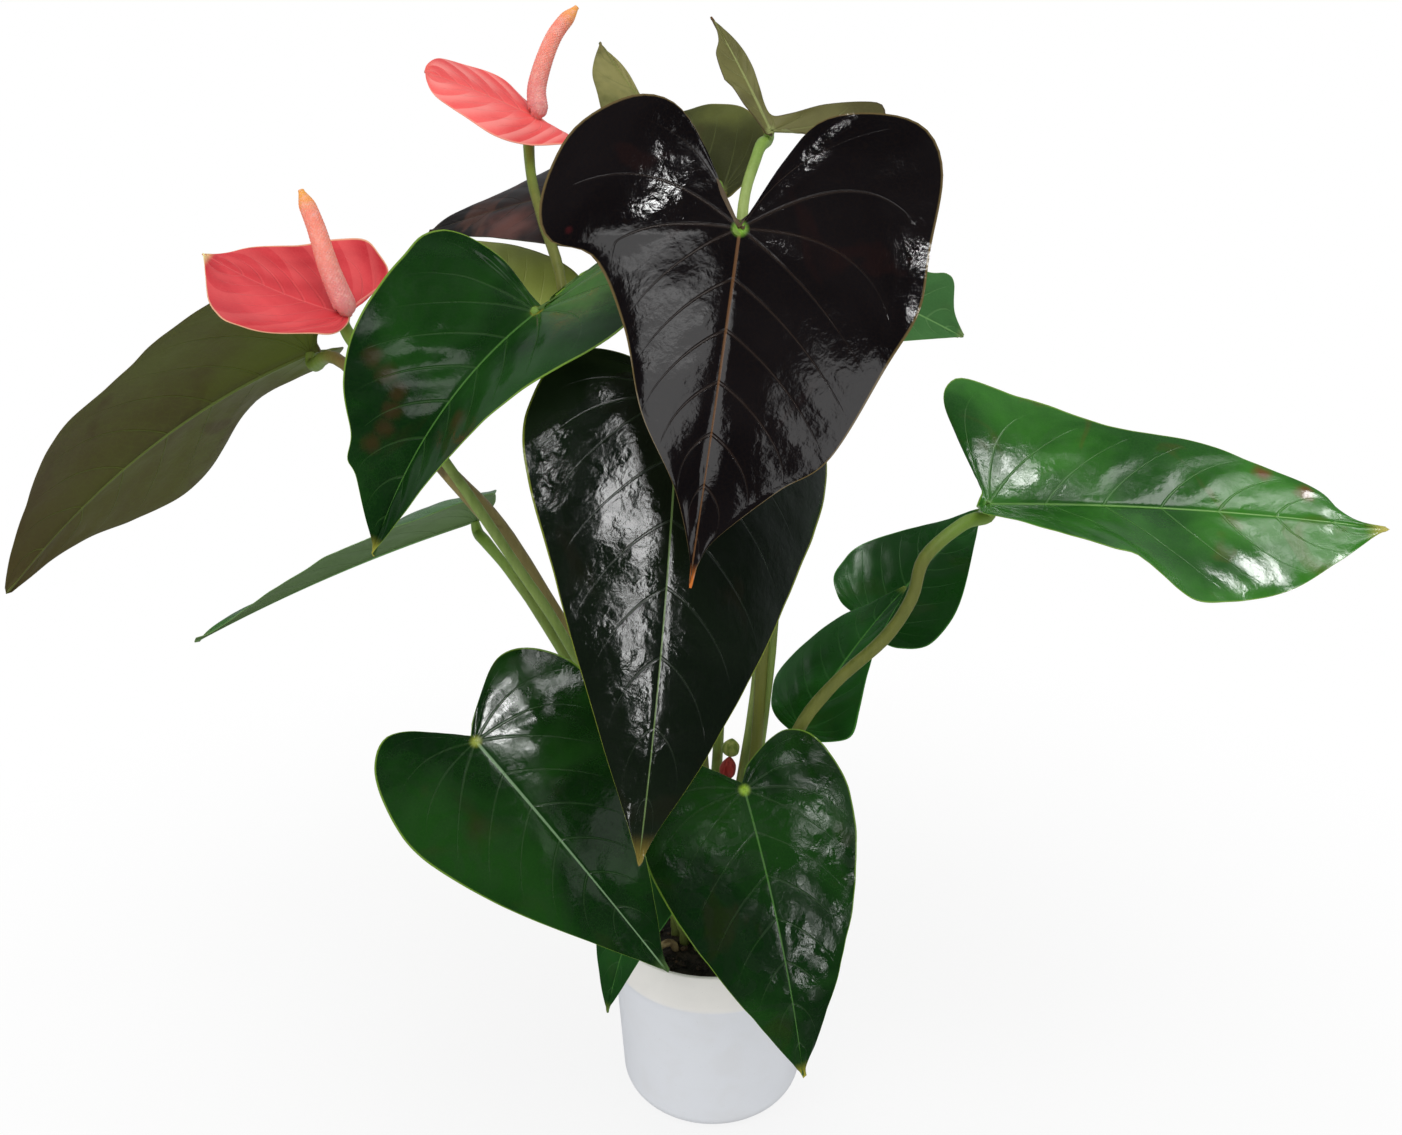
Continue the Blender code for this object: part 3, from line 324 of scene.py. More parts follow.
# Windows that only gloss shows: each leaf named here mirrors its own, and the rest share those with no name
WINDOWS = {
    "": (
        Light("window_front", MIDDLE, (-0.10, -0.80, 0.56), 1.9, 0.46, 0.62, 3.0),
        Light("window_top", MIDDLE, (-0.10, -0.35, 0.92), 1.4, 0.60, 0.30, 1.5),
    ),
    "leaf_black_top": (
        Light("black_low_left", (-0.02, -0.15, 0.46), (-0.17, -0.86, 0.44), 1.9, 0.78, 0.85, 2.6),
        Light("black_low_right", (0.03, -0.155, 0.43), (0.58, -0.79, 0.17), 1.9, 0.60, 1.15, 2.4),
        Light("black_rim", (-0.02, -0.137, 0.492), (-0.19, -0.75, 0.63), 1.7, 0.50, 0.22, 2.6),
        Light("black_lamp_left", (-0.012, -0.119, 0.534), (-0.16, -0.61, 0.78), 1.6, 0.10, 0.08, 55.0),
        Light("black_lamp_right", (0.035, -0.116, 0.535), (0.30, -0.56, 0.77), 1.6, 0.04, 0.04, 90.0),
        Light("black_lamp_edge", (0.079, -0.12, 0.495), (0.77, -0.38, 0.52), 1.6, 0.04, 0.05, 80.0),
    ),
    "leaf_black_front": (
        Light("front_strip_high", (-0.035, -0.125, 0.41), (0.06, -0.58, 0.81), 1.7, 0.34, 0.70, 8.0),
        Light("front_strip_low", (-0.03, -0.16, 0.35), (0.16, -0.87, 0.46), 1.8, 0.24, 0.90, 8.0),
        Light("front_edge", (-0.074, -0.12, 0.416), (-0.56, -0.33, 0.77), 1.5, 0.09, 0.18, 12.0),
    ),
    "leaf_left": (
        Light("left_sheen", (-0.12, -0.08, 0.45), (-0.33, -0.55, 0.77), 1.6, 0.42, 0.32, 1.6),
    ),
    "leaf_right_long": (
        Light("long_band", (0.22, -0.015, 0.375), (0.30, -0.31, 0.90), 1.4, 0.75, 0.24, 4.5),
        Light("long_notch", (0.145, 0.0, 0.38), (0.03, -0.24, 0.97), 1.4, 0.15, 0.16, 24.0),
        Light("long_margin", (0.275, -0.062, 0.342), (0.64, -0.06, 0.76), 1.4, 0.26, 0.18, 22.0),
        Light("long_tip", (0.27, -0.045, 0.35), (0.50, -0.10, 0.86), 1.4, 0.50, 0.40, 1.5),
    ),
    "leaf_low_right": (
        Light("low_strip_high", (0.045, -0.068, 0.225), (0.81, -0.31, 0.49), 1.5, 0.20, 0.30, 7.0),
        Light("low_strip_low", (0.045, -0.10, 0.175), (0.66, -0.74, 0.10), 1.5, 0.17, 0.42, 7.0),
        Light("low_glow", (0.0, -0.08, 0.22), (-0.15, -0.80, 0.58), 1.6, 0.45, 0.40, 1.2),
    ),
    "leaf_low_left": (
        Light("low_patch", (-0.085, -0.06, 0.278), (0.27, -0.27, 0.92), 1.5, 1.0, 0.65, 5.5),
        Light("low_lamp", (-0.10, -0.067, 0.279), (0.09, -0.41, 0.91), 1.5, 0.22, 0.16, 26.0),
        Light("low_sheen", (-0.06, -0.10, 0.228), (0.45, -0.68, 0.58), 1.6, 0.90, 0.70, 0.6),
    ),
    "leaf_right_back": (
        Light("back_patch", (0.087, 0.10, 0.29), (-0.57, -0.02, 0.82), 1.4, 0.45, 0.40, 18.0),
    ),
    "leaf_right_small": (
        Light("small_patch", (0.043, 0.017, 0.249), (-0.71, 0.37, 0.60), 1.4, 0.20, 0.20, 3.0),
    ),
    "leaf_edge_left": (
        Light("edge_patch", (-0.184, -0.01, 0.343), (-0.46, -0.65, 0.61), 1.5, 0.30, 0.30, 7.0),
    ),
}

# How a blade's surface looks: its palette, how far it bulges between the veins, how far and how widely it
# ripples in millimetres, how far the veins bow towards the tip, how strong its fine wrinkles and blotches
# are, how much duller it is outside its glassy patches, how strongly it mirrors, the seed of its noise, how
# wide its rib is in millimetres, how plain its veins and its margin are, and how deep its rib lies
Look = namedtuple(
    "Look", "palette bulge ripple reach bow wrinkle blotch film mirror seed rib veins edge valley",
    defaults=(1.2, 0.30, 0.7, 0.5))
LOOKS = {
    "leaf_black_top": Look("black", 0.10, 0.5, 42, 1.0, 0.75, 0.15, 0.1, 0.30, 1, 0.85, 0.28, 0.35, 0.3),
    "leaf_black_front": Look("green_black", 0.20, 0.8, 30, 1.0, 1.8, 0.2, 0.3, 0.80, 2, 0.65, 0.22, 0.6, 0.3),
    "leaf_left": Look("dark_green", 0.50, 0.8, 34, 1.0, 0.6, 0.2, 0.3, 0.45, 3, 0.9, 0.3, 0.8, 0.6),
    "leaf_right_long": Look("mid_green", 0.35, 0.6, 30, 1.0, 0.8, 0.25, 0.2, 0.60, 4, 1.2, 0.35, 0.7, 0.0),
    "leaf_right_back": Look("bright_green", 0.4, 0.8, 26, 1.0, 0.4, 0.1, 0.2, 0.3, 5),
    "leaf_right_small": Look("bright_green", 0.4, 0.6, 26, 1.0, 0.4, 0.1, 0.2, 0.25, 6),
    "leaf_low_right": Look("dark_green", 0.45, 1.1, 24, 1.0, 2.3, 0.15, 0.6, 0.60, 7, 0.75, 0.2),
    "leaf_low_left": Look("glossy_green", 0.25, 0.8, 28, 1.0, 0.9, 0.1, 0.4, 0.45, 8, 1.0, 0.2),
    "leaf_low_small": Look("bright_green", 0.4, 0.6, 22, 1.0, 0.4, 0.1, 0.2, 0.4, 9),
    "leaf_far_left": Look("olive_under", 0.5, 1.0, 40, 1.0, 0.4, 0.6, 0.0, 0.3, 10),
    "leaf_edge_left": Look("pale_green", 0.5, 0.8, 26, 1.0, 0.5, 0.1, 0.3, 0.5, 11),
    "leaf_back_tall": Look("olive", 0.4, 0.8, 30, 1.0, 0.4, 0.3, 0.0, 0.3, 12),
    "leaf_young": Look("young", 0.3, 0.4, 20, 1.0, 0.3, 0.3, 0.0, 0.3, 13),
    "leaf_back_left": Look("grey_black", 0.4, 0.8, 34, 1.0, 0.5, 0.9, 0.0, 0.4, 14),
    "leaf_olive_left": Look("light_olive", 0.4, 0.8, 30, 1.0, 0.4, 0.2, 0.0, 0.3, 15),
    "leaf_back_right": Look("pale_green", 0.5, 0.6, 24, 1.0, 0.4, 0.3, 0.0, 0.3, 16),
    "flower_top_spathe": Look("salmon", 0.12, 0.3, 22, 2.4, 0.2, 0.0, 0.0, 0.4, 17, 0.9, 0.12),
    "flower_left_spathe": Look("coral", 0.18, 0.4, 22, 2.4, 0.2, 0.0, 0.0, 0.4, 18, 0.9, 0.15),
}

# Colours of a blade, linear red, green, blue: deep and bright parts of the upper side, veins, rib, margin,
# tip, blotches, underside and its veins; then the roughness of the upper side
Palette = namedtuple("Palette", "deep bright vein rib margin tip blotch under under_vein roughness")
PALETTES = {
    "black": Palette(
        (0.0035, 0.0028, 0.0034), (0.0070, 0.0056, 0.0062), (0.034, 0.018, 0.009), (0.13, 0.058, 0.020),
        (0.32, 0.23, 0.09), (0.60, 0.17, 0.030), (0.030, 0.008, 0.006), (0.050, 0.036, 0.022),
        (0.09, 0.06, 0.03), 0.05),
    "green_black": Palette(
        (0.0030, 0.0058, 0.0028), (0.0060, 0.0110, 0.0052), (0.020, 0.040, 0.013), (0.13, 0.21, 0.060),
        (0.28, 0.34, 0.04), (0.22, 0.17, 0.035), (0.016, 0.010, 0.005), (0.040, 0.055, 0.020),
        (0.09, 0.12, 0.04), 0.07),
    "dark_green": Palette(
        (0.0026, 0.0175, 0.0028), (0.0100, 0.0520, 0.0065), (0.032, 0.105, 0.015), (0.065, 0.19, 0.028),
        (0.19, 0.33, 0.04), (0.34, 0.32, 0.04), (0.045, 0.018, 0.008), (0.035, 0.085, 0.016),
        (0.09, 0.17, 0.035), 0.10),
    "mid_green": Palette(
        (0.009, 0.070, 0.005), (0.036, 0.180, 0.015), (0.085, 0.26, 0.035), (0.15, 0.36, 0.055),
        (0.22, 0.38, 0.045), (0.55, 0.48, 0.12), (0.13, 0.030, 0.008), (0.050, 0.13, 0.022),
        (0.11, 0.23, 0.05), 0.13),
    "pale_green": Palette(
        (0.045, 0.135, 0.038), (0.090, 0.235, 0.070), (0.12, 0.28, 0.08), (0.16, 0.34, 0.10),
        (0.16, 0.30, 0.07), (0.20, 0.28, 0.10), (0.06, 0.06, 0.02), (0.075, 0.135, 0.045),
        (0.13, 0.22, 0.08), 0.20),
    "bright_green": Palette(
        (0.0046, 0.044, 0.0042), (0.011, 0.090, 0.008), (0.030, 0.15, 0.018), (0.06, 0.21, 0.03),
        (0.06, 0.24, 0.03), (0.13, 0.18, 0.03), (0.05, 0.05, 0.01), (0.040, 0.12, 0.018),
        (0.09, 0.21, 0.04), 0.26),
    "olive_under": Palette(
        (0.030, 0.045, 0.010), (0.050, 0.075, 0.016), (0.09, 0.13, 0.02), (0.15, 0.21, 0.04),
        (0.10, 0.08, 0.02), (0.06, 0.03, 0.010), (0.060, 0.040, 0.013), (0.076, 0.067, 0.019),
        (0.105, 0.145, 0.018), 0.34),
    # This palette is painted light: it paints the glow of a leaf lit from behind, so its colours are far
    # paler than the leaf's own olive
    "light_olive": Palette(
        (0.32, 0.39, 0.080), (0.47, 0.55, 0.13), (0.55, 0.62, 0.18), (0.58, 0.66, 0.20), (0.22, 0.24, 0.05),
        (0.22, 0.20, 0.06), (0.080, 0.066, 0.020), (0.11, 0.13, 0.030), (0.18, 0.22, 0.05), 0.38),
    "olive": Palette(
        (0.045, 0.050, 0.012), (0.110, 0.125, 0.026), (0.14, 0.17, 0.04), (0.18, 0.22, 0.05),
        (0.18, 0.16, 0.04), (0.18, 0.15, 0.05), (0.050, 0.036, 0.013), (0.080, 0.085, 0.024),
        (0.14, 0.16, 0.04), 0.38),
    "young": Palette(
        (0.070, 0.062, 0.018), (0.150, 0.145, 0.045), (0.20, 0.22, 0.07), (0.28, 0.32, 0.11),
        (0.06, 0.035, 0.018), (0.12, 0.025, 0.010), (0.075, 0.025, 0.014), (0.095, 0.080, 0.034),
        (0.18, 0.20, 0.07), 0.36),
    "grey_black": Palette(
        (0.014, 0.014, 0.014), (0.032, 0.030, 0.029), (0.045, 0.040, 0.032), (0.08, 0.065, 0.04),
        (0.05, 0.05, 0.03), (0.06, 0.05, 0.03), (0.075, 0.038, 0.028), (0.048, 0.038, 0.030),
        (0.08, 0.065, 0.045), 0.36),
    "salmon": Palette(
        (0.80, 0.070, 0.070), (0.95, 0.135, 0.125), (0.97, 0.36, 0.32), (0.90, 0.20, 0.16),
        (0.92, 0.38, 0.26), (0.84, 0.13, 0.10), (0.70, 0.30, 0.16), (0.84, 0.20, 0.17), (0.90, 0.34, 0.28),
        0.36),
    "coral": Palette(
        (0.52, 0.015, 0.026), (0.86, 0.080, 0.090), (0.88, 0.17, 0.16), (0.80, 0.12, 0.12),
        (0.88, 0.56, 0.32), (0.86, 0.78, 0.34), (0.60, 0.24, 0.18), (0.66, 0.10, 0.10), (0.78, 0.24, 0.20),
        0.34),
}
# In this palette the pale rib is a painted highlight, the shine along the rib; its darker tip is the leaf's
# own colour
PALETTES["glossy_green"] = PALETTES["dark_green"]._replace(rib=(0.20, 0.34, 0.17), tip=(0.06, 0.12, 0.03))

# The spathes are banded like a shell, this strongly
SHELL_BANDS = {"salmon": 0.55, "coral": 0.25}

# Marks on the upper sides: the leaf, places in millimetres, how far each reaches, its colour and its strength
Mark = namedtuple("Mark", "leaf places reach colour strength")
MARKS = (
    Mark("leaf_left",
         ((-147, -78, 451), (-141, -82, 445), (-136, -86, 437), (-138, -90, 430), (-141, -92, 423),
          (-147, -94, 417)), 7, (0.050, 0.021, 0.009), 0.5),
    Mark("leaf_left", ((-107, -107, 430),), 8, (0.050, 0.021, 0.009), 0.5),
    Mark("leaf_left", ((-57, -62, 475),), 34, (0.055, 0.165, 0.022), 0.75),
    Mark("leaf_black_top", ((-56, -127, 507),), 2.5, (0.08, 0.010, 0.012), 0.6),
    Mark("leaf_right_long", ((275, -10, 381), (293, -19, 373)), 7, (0.15, 0.040, 0.012), 0.85),
    Mark("leaf_low_left", ((-112, -104, 235),), 9, (0.025, 0.022, 0.006), 0.5),
    Mark("leaf_back_left", ((-105, 40, 497),), 22, (0.13, 0.055, 0.045), 0.8),
    Mark("leaf_back_tall", ((-52, 135, 575),), 42, (0.28, 0.26, 0.09), 0.8),
)

# Stalk colours: main, a paler tone for the streaks and specks that also paints a lit side, marks, and how
# many marks there are
STALK_PAINTS = {
    "stalk_olive": ((0.088, 0.112, 0.015), (0.18, 0.19, 0.038), (0.055, 0.038, 0.012), 0.40),
    "stalk_green": ((0.125, 0.205, 0.032), (0.24, 0.33, 0.080), (0.085, 0.075, 0.020), 0.30),
    "stalk_bright": ((0.180, 0.270, 0.050), (0.42, 0.53, 0.170), (0.120, 0.110, 0.030), 0.15),
    "stalk_brown": ((0.160, 0.120, 0.035), (0.28, 0.23, 0.080), (0.050, 0.028, 0.012), 0.60),
}

# The colours that a stalk takes towards its upper end and at its foot
STALK_END = (0.17, 0.30, 0.04)
STALK_FOOT = (0.075, 0.055, 0.022)


# Helpers

def unit(vector):
    return np.asarray(vector, float) / np.linalg.norm(vector)


def metres(places):
    return np.asarray(places, float) * MM


def ease(value, start, end):
    """0 before start, 1 after end, smooth between"""
    share = np.clip((np.asarray(value, float) - start) / (end - start), 0, 1)
    return share * share * (3 - 2 * share)


def bell(value, width):
    """1 at zero, fading away within about width"""
    return np.exp(-(value / width) ** 2)


def walked(route):
    """how far along its line each place of a route lies"""
    return np.append(0, np.cumsum(np.linalg.norm(np.diff(route, axis=0), axis=1)))


def smooth_through(points, count):
    """count places on a smooth curve through the given points"""
    given = np.asarray(points, float)
    given = np.vstack((2 * given[0] - given[1], given, 2 * given[-1] - given[-2]))
    spans = len(given) - 3
    steps = np.linspace(0, spans, count)
    span = np.minimum(steps.astype(int), spans - 1)
    f = (steps - span)[:, None]
    a, b, c, d = (given[span + place] for place in range(4))
    bend = (2 * a - 5 * b + 4 * c - d) * f ** 2 + (3 * b - a - 3 * c + d) * f ** 3
    return 0.5 * (2 * b + (c - a) * f + bend)


def rough_field(points, reach, seed):
    """smooth noise between about -1 and 1 at each place, with bumps about reach wide"""
    shift = Vector((seed * 7.31, seed * 3.17, seed * 5.77))
    return np.array([noise.noise(Vector(place) / reach + shift) for place in points]) * 1.6


def vertex_normals(points, faces):
    normals = np.zeros_like(points)
    for size in (3, 4):
        group = np.array([face for face in faces if len(face) == size])
        if len(group):
            corners = points[group]
            across = np.cross(corners[:, 2] - corners[:, 0], corners[:, -1] - corners[:, 1])
            for corner in group.T:
                np.add.at(normals, corner, across)
    return normals / np.maximum(np.linalg.norm(normals, axis=1, keepdims=True), 1e-12)


def strips(rows):
    """faces between each row of corners and the next; a corner that meets its neighbour is dropped"""
    faces = []
    for first, second in zip(rows, rows[1:]):
        for corners in zip(first, first[1:], second[1:], second):
            kept = tuple(corner for place, corner in enumerate(corners) if corner != corners[place - 1])
            if len(kept) > 2:
                faces.append(kept)
    return faces


def closed_row(first, count):
    """the corners of a ring, with the first one again at its end"""
    return list(range(first, first + count)) + [first]


def turned(profile, steps):
    """points and faces of a profile (radius, height) turned round the Z axis"""
    turn = tau * np.arange(steps) / steps
    points = np.empty((0, 3))
    rows = []
    for radius, height in profile:
        on_axis = radius < 1e-6
        rows.append([len(points)] * (steps + 1) if on_axis else closed_row(len(points), steps))
        ring = np.column_stack((radius * np.cos(turn), radius * np.sin(turn), np.full(steps, height)))
        points = np.vstack((points, ring[:1] if on_axis else ring))
    return points, strips(list(zip(*rows)))


def arc(across, height, radius, start, end, steps):
    """places of a profile on an arc round (across, height), from one angle to another in degrees"""
    return [(across + radius * cos(turn), height + radius * sin(turn))
            for turn in np.radians(np.linspace(start, end, steps + 1))]


def new_piece(name, points, faces, materials, sharp=55, slots=None, fields=None):
    """a smooth mesh object with its materials, and a number at each point for every field"""
    mesh = bpy.data.meshes.new(name)
    mesh.from_pydata([tuple(place) for place in points], [], faces)
    for material in materials:
        mesh.materials.append(material)
    if slots is not None:
        mesh.polygons.foreach_set("material_index", np.asarray(slots, np.int32))
    for field, values in (fields or {}).items():
        layer = mesh.attributes.new(field, "FLOAT", "POINT")
        layer.data.foreach_set("value", np.asarray(values, np.float32))
    mesh.validate()
    mesh.shade_smooth()
    mesh.set_sharp_from_angle(angle=radians(sharp))
    return show(name, mesh)


def show(name, data):
    """a new object in the scene"""
    item = bpy.data.objects.new(name, data)
    bpy.context.scene.collection.objects.link(item)
    return item


def stand_for(item, node):
    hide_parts(node)
    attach(item, "root")


class Graph:
    """the nodes of a material or of the world, written as sums"""

    def __init__(self, owner):
        owner.use_nodes = True
        self.owner = owner
        self.tree = owner.node_tree

    def plug(self, socket, value):
        if isinstance(value, bpy.types.NodeSocket):
            self.tree.links.new(value, socket)
        elif socket.type == "RGBA":
            socket.default_value = (*value, 1.0)
        else:
            socket.default_value = value

    def add(self, kind, output=0, inputs=None, **settings):
        """a node with its settings and inputs; one of its outputs is given back"""
        item = self.tree.nodes.new("ShaderNode" + kind)
        for name, value in settings.items():
            setattr(item, name, value)
        for key, value in (inputs or {}).items():
            self.plug(item.inputs[key], value)
        return item.outputs[output]

    def math(self, operation, first, second=0.0):
        return self.add("Math", 0, {0: first, 1: second}, operation=operation)

    def times(self, first, second):
        return self.math("MULTIPLY", first, second)

    def field(self, name):
        return self.add("Attribute", "Fac", attribute_name=name)

    def place(self):
        return self.add("TexCoord", "Object")

    def away(self, spot):
        """how far a place is from a spot given in millimetres"""
        inputs = {0: self.place(), 1: tuple(metres(spot))}
        return self.add("VectorMath", "Value", inputs, operation="DISTANCE")

    def grain(self, scale, detail, distortion):
        """noise that is drawn out along an axis by its scale"""
        drawn_out = self.add("Mapping", 0, {"Vector": self.place(), "Scale": scale})
        return self.noise(1.0, detail, distortion, drawn_out)

    def noise(self, scale, detail=2.0, distortion=0.0, vector=None):
        vector = vector or self.place()
        inputs = {"Vector": vector, "Scale": scale, "Detail": detail, "Distortion": distortion}
        return self.add("TexNoise", "Fac", inputs)

    def cells(self, scale, feature="F1"):
        return self.add("TexVoronoi", "Distance", {"Vector": self.place(), "Scale": scale}, feature=feature)

    def ease(self, value, start, end, low=0.0, high=1.0):
        inputs = {"Value": value, "From Min": start, "From Max": end, "To Min": low, "To Max": high}
        return self.add("MapRange", 0, inputs, interpolation_type="SMOOTHSTEP")

    def fade(self, value, start, end, high=1.0):
        return self.ease(value, start, end, high, 0.0)

    def mix(self, share, first, second):
        return self.add("Mix", 2, {0: share, 6: first, 7: second}, data_type="RGBA")

    def tint(self, colour, mask, amount, other):
        """the colour turned to another one by an amount, where the mask is"""
        return self.mix(self.times(mask, amount), colour, other)

    def bump(self, height, distance, normal=None):
        inputs = {"Height": height, "Distance": distance}
        if normal is not None:
            inputs["Normal"] = normal
        return self.add("Bump", 0, inputs)

    def finish(self, colour, roughness, normal, **settings):
        shader = self.tree.nodes["Principled BSDF"]
        self.plug(shader.inputs["Base Color"], colour)
        self.plug(shader.inputs["Roughness"], roughness)
        self.plug(shader.inputs["Normal"], normal)
        for name, value in settings.items():
            shader.inputs[name.replace("_", " ").title().replace("Ior", "IOR")].default_value = value
        return self.owner


def new_paint(name):
    return Graph(bpy.data.materials.new(name))


# Blade shapes

def blade_length(blade):
    """the rib's run: the chord from joint to tip, made longer by its bend"""
    chord = np.linalg.norm(np.subtract(blade.tip, blade.joint)) * MM
    half_bend = radians(blade.bend) / 2
    return chord * half_bend / sin(half_bend)


def blade_axes(blade):
    along = unit(np.subtract(blade.tip, blade.joint))
    face = np.asarray(blade.face, float)
    up = unit(face - face.dot(along) * along)
    return along, np.cross(up, along), up


def half_outline(half, length):
    """places (along, out) from the notch round the lobe to the tip"""
    points = half.shape
    if isinstance(half.shape, Heart):
        width = half.width
        lobe, gap, shoulder, waist = half.shape
        run = length / MM - shoulder
        points = (
            (-0.55 * lobe, gap),
            (-lobe, 0.5 * width + 0.3 * gap),
            (-0.62 * lobe, 0.86 * width),
            (shoulder, width),
            (shoulder + 0.36 * run, waist * width),
            (shoulder + 0.72 * run, 0.446 * waist * width),
            (shoulder + 0.93 * run, 0.07 * width),
        )
    ends = (-NOTCH_SHARE * length, 0.0), (length, 0.0)
    places = smooth_through([ends[0], *metres(points), ends[1]], OUTLINE_STEPS)
    places[:, 1] = np.maximum(places[:, 1], 0)
    return places


def bent_rib(run, length, bend, back):
    """place in the rib's upright plane, and slope, at a run from the joint; behind it the lobes turn back"""
    rate = bend / length
    slope = bend / 2 - rate * np.maximum(run, 0)
    level = (sin(bend / 2) - np.sin(slope)) / rate
    height = (np.cos(slope) - cos(bend / 2)) / rate
    behind = np.minimum(run, 0)
    middle_slope = bend / 2 - back * behind / length / 2
    level = level + behind * np.cos(middle_slope)
    height = height + behind * np.sin(middle_slope)
    slope = np.where(run < 0, bend / 2 - back * behind / length, slope)
    return level, height, slope


def blade_places(blade, half, sign, along, out, share, turn):
    """the flat places (along, out) of one half set in the world, bent, folded and waved"""
    along_axis, right_axis, up_axis = blade_axes(blade)
    length = blade_length(blade)
    level, height, slope = bent_rib(along, length, radians(blade.bend), radians(blade.back))
    tuck = radians(half.tuck) * (1 - ease(along / (TUCK_SHARE * length), 0, 1))
    tilt = radians(half.fold) + tuck + radians(half.curl) / 2 * out / (half.width * MM)
    lift = out * np.sin(tilt) + blade.wave * MM * share ** 2 * np.sin(tau * (blade.waves * turn + 0.3 * sign))
    level = level - np.sin(slope) * lift
    height = height + np.cos(slope) * lift
    return (metres(blade.joint) + level[:, None] * along_axis
            + (sign * out * np.cos(tilt))[:, None] * right_axis + height[:, None] * up_axis)


def half_rows(half, length):
    """for each row from rib to margin: start on the rib, place round the margin, vein number and end"""
    edge = half_outline(half, length)
    turn = np.linspace(0, 1, len(edge))
    root = edge[:, 0] - VEIN_LEAN * edge[:, 1]
    first = int(np.argmax(np.minimum.accumulate(root[::-1])[::-1] > 0))
    round_lobe = walked(edge[:first + 1])
    fan_steps = np.linspace(0, 1, FAN_ROWS + 1)
    fan = np.interp(fan_steps * round_lobe[-1], round_lobe, turn[:first + 1])
    ladder = np.arange(1, RIB_ROWS) / RIB_ROWS
    side = np.interp(ladder * length, np.maximum.accumulate(root[first:]), turn[first:])
    station = np.concatenate((0 * fan_steps, ladder * length))
    vein = np.concatenate((LOBE_VEINS * fan_steps, LOBE_VEINS + RIB_VEINS * ladder))
    at = np.concatenate((fan, side))
    end = np.column_stack([np.interp(at, turn, axis) for axis in edge.T])
    return station, at, vein, end


def blade_sheet(blade):
    """the blade's middle surface: for each point its along, out, share, turn, vein and step, and its place"""
    length = blade_length(blade)
    ladder = np.arange(RIB_ROWS + 1) / RIB_ROWS
    zero = np.zeros(len(ladder))
    rib = ladder * length
    parts = [np.column_stack((rib, zero, zero, ladder, LOBE_VEINS + RIB_VEINS * ladder, zero + RIB_STEP))]
    places = [blade_places(blade, blade.left, -1, rib, zero, zero, zero)]
    count = len(ladder)
    columns = len(SHARES) - 1
    share = np.array(SHARES[1:])[None, :]
    faces = []
    for half, sign in ((blade.left, -1), (blade.right, 1)):
        station, at, vein, end = half_rows(half, length)
        along = station[:, None] * (1 - share) + end[:, :1] * share
        out = end[:, 1:] * share
        step = np.hypot(np.gradient(along, axis=0), np.gradient(out, axis=0)) / np.gradient(vein)[:, None]
        full = [value + np.zeros_like(along) for value in (share, at[:, None], vein[:, None])]
        flat = [value.ravel() for value in (along, out, *full, step)]
        skipped = columns if sign == 1 else 0
        rows = []
        for row in range(FAN_ROWS + RIB_ROWS):
            first = count - skipped + row * columns
            rows.append([max(0, row - FAN_ROWS)] + list(range(first, first + columns)))
        if sign == 1:
            rows[0] = shared
        shared = rows[0]
        rows.append([len(ladder) - 1] * (columns + 1))
        faces += strips(rows if sign == -1 else rows[::-1])
        parts.append(np.column_stack(flat)[skipped:])
        places.append(blade_places(blade, half, sign, *flat[:4])[skipped:])
        count += len(parts[-1])
    return np.vstack(parts), np.vstack(places), faces


def shaped(look, flat, places, faces):
    """the sheet with its bulges between the veins, ripples and the groove along the rib"""
    along, out, share, _, vein, step = flat.T
    phase = vein - look.bow * share ** 2
    envelope = ease(share, 0, 0.25) * (1 - ease(share, 0.72, 1))
    uneven = 0.75 + 0.45 * rough_field(places, 30 * MM, look.seed + 80)
    rise = look.bulge * MM * uneven * np.sin(pi * phase) ** 2 * envelope * np.minimum(step / (13 * MM), 1.2)
    rise += look.valley * MM * (1 - bell(out, 8 * MM)) * ease(along, 0, 12 * MM)
    ripple = rough_field(places, look.reach * MM, look.seed)
    ripple += 0.35 * rough_field(places, 0.36 * look.reach * MM, look.seed + 40)
    rise += look.ripple * MM * ripple * ease(share, 0, 0.3)
    rise -= RIB_GROOVE * bell(out, 1.1 * MM) * ease(along, 0, 6 * MM)
    return places + vertex_normals(places, faces) * rise[:, None], phase


def add_blade(blade, name):
    """both faces and the rim of a blade, with a ridge under the rib"""
    look = LOOKS[blade.name]
    flat, places, faces = blade_sheet(blade)
    middle, phase = shaped(look, flat, places, faces)
    normals = vertex_normals(middle, faces)
    along, out, share, _, _, step = flat.T
    run = along / blade_length(blade)
    from_joint = np.hypot(along, out)
    thick = BLADE_THICKNESS - (BLADE_THICKNESS - MARGIN_THICKNESS) * ease(share, 0.9, 1)
    ridge = RIB_RIDGE * bell(out, 1.2 * MM) * (1 - 0.8 * np.clip(run, 0, 1))
    upper = middle + normals * (thick / 2)[:, None]
    lower = middle - normals * (thick / 2 + ridge)[:, None]
    total = len(flat)
    sides = {side: True for face in faces for side in zip(face, face[1:] + face[:1])}
    rim = [(end, start, start + total, end + total) for start, end in sides if (end, start) not in sides]
    under = [tuple(corner + total for corner in face[::-1]) for face in faces]
    fields = {
        "vein": phase, "share": share, "run": run,
        "step": step / MM, "out": out / MM, "start": from_joint / MM,
        "margin": (1 - share) * np.maximum(from_joint / np.maximum(share, 0.05), 4 * MM) / MM,
    }
    fields = {key: np.tile(values, 2) for key, values in fields.items()}
    slots = [0] * len(faces) + [1] * len(under) + [0] * len(rim)
    materials = (blade_top(blade.name, look), blade_under(blade.name, look))
    points = np.vstack((upper, lower))
    piece = new_piece(name + "_fine", points, faces + under + rim, materials, 60, slots, fields)
    stand_for(piece, name)


# Blade materials

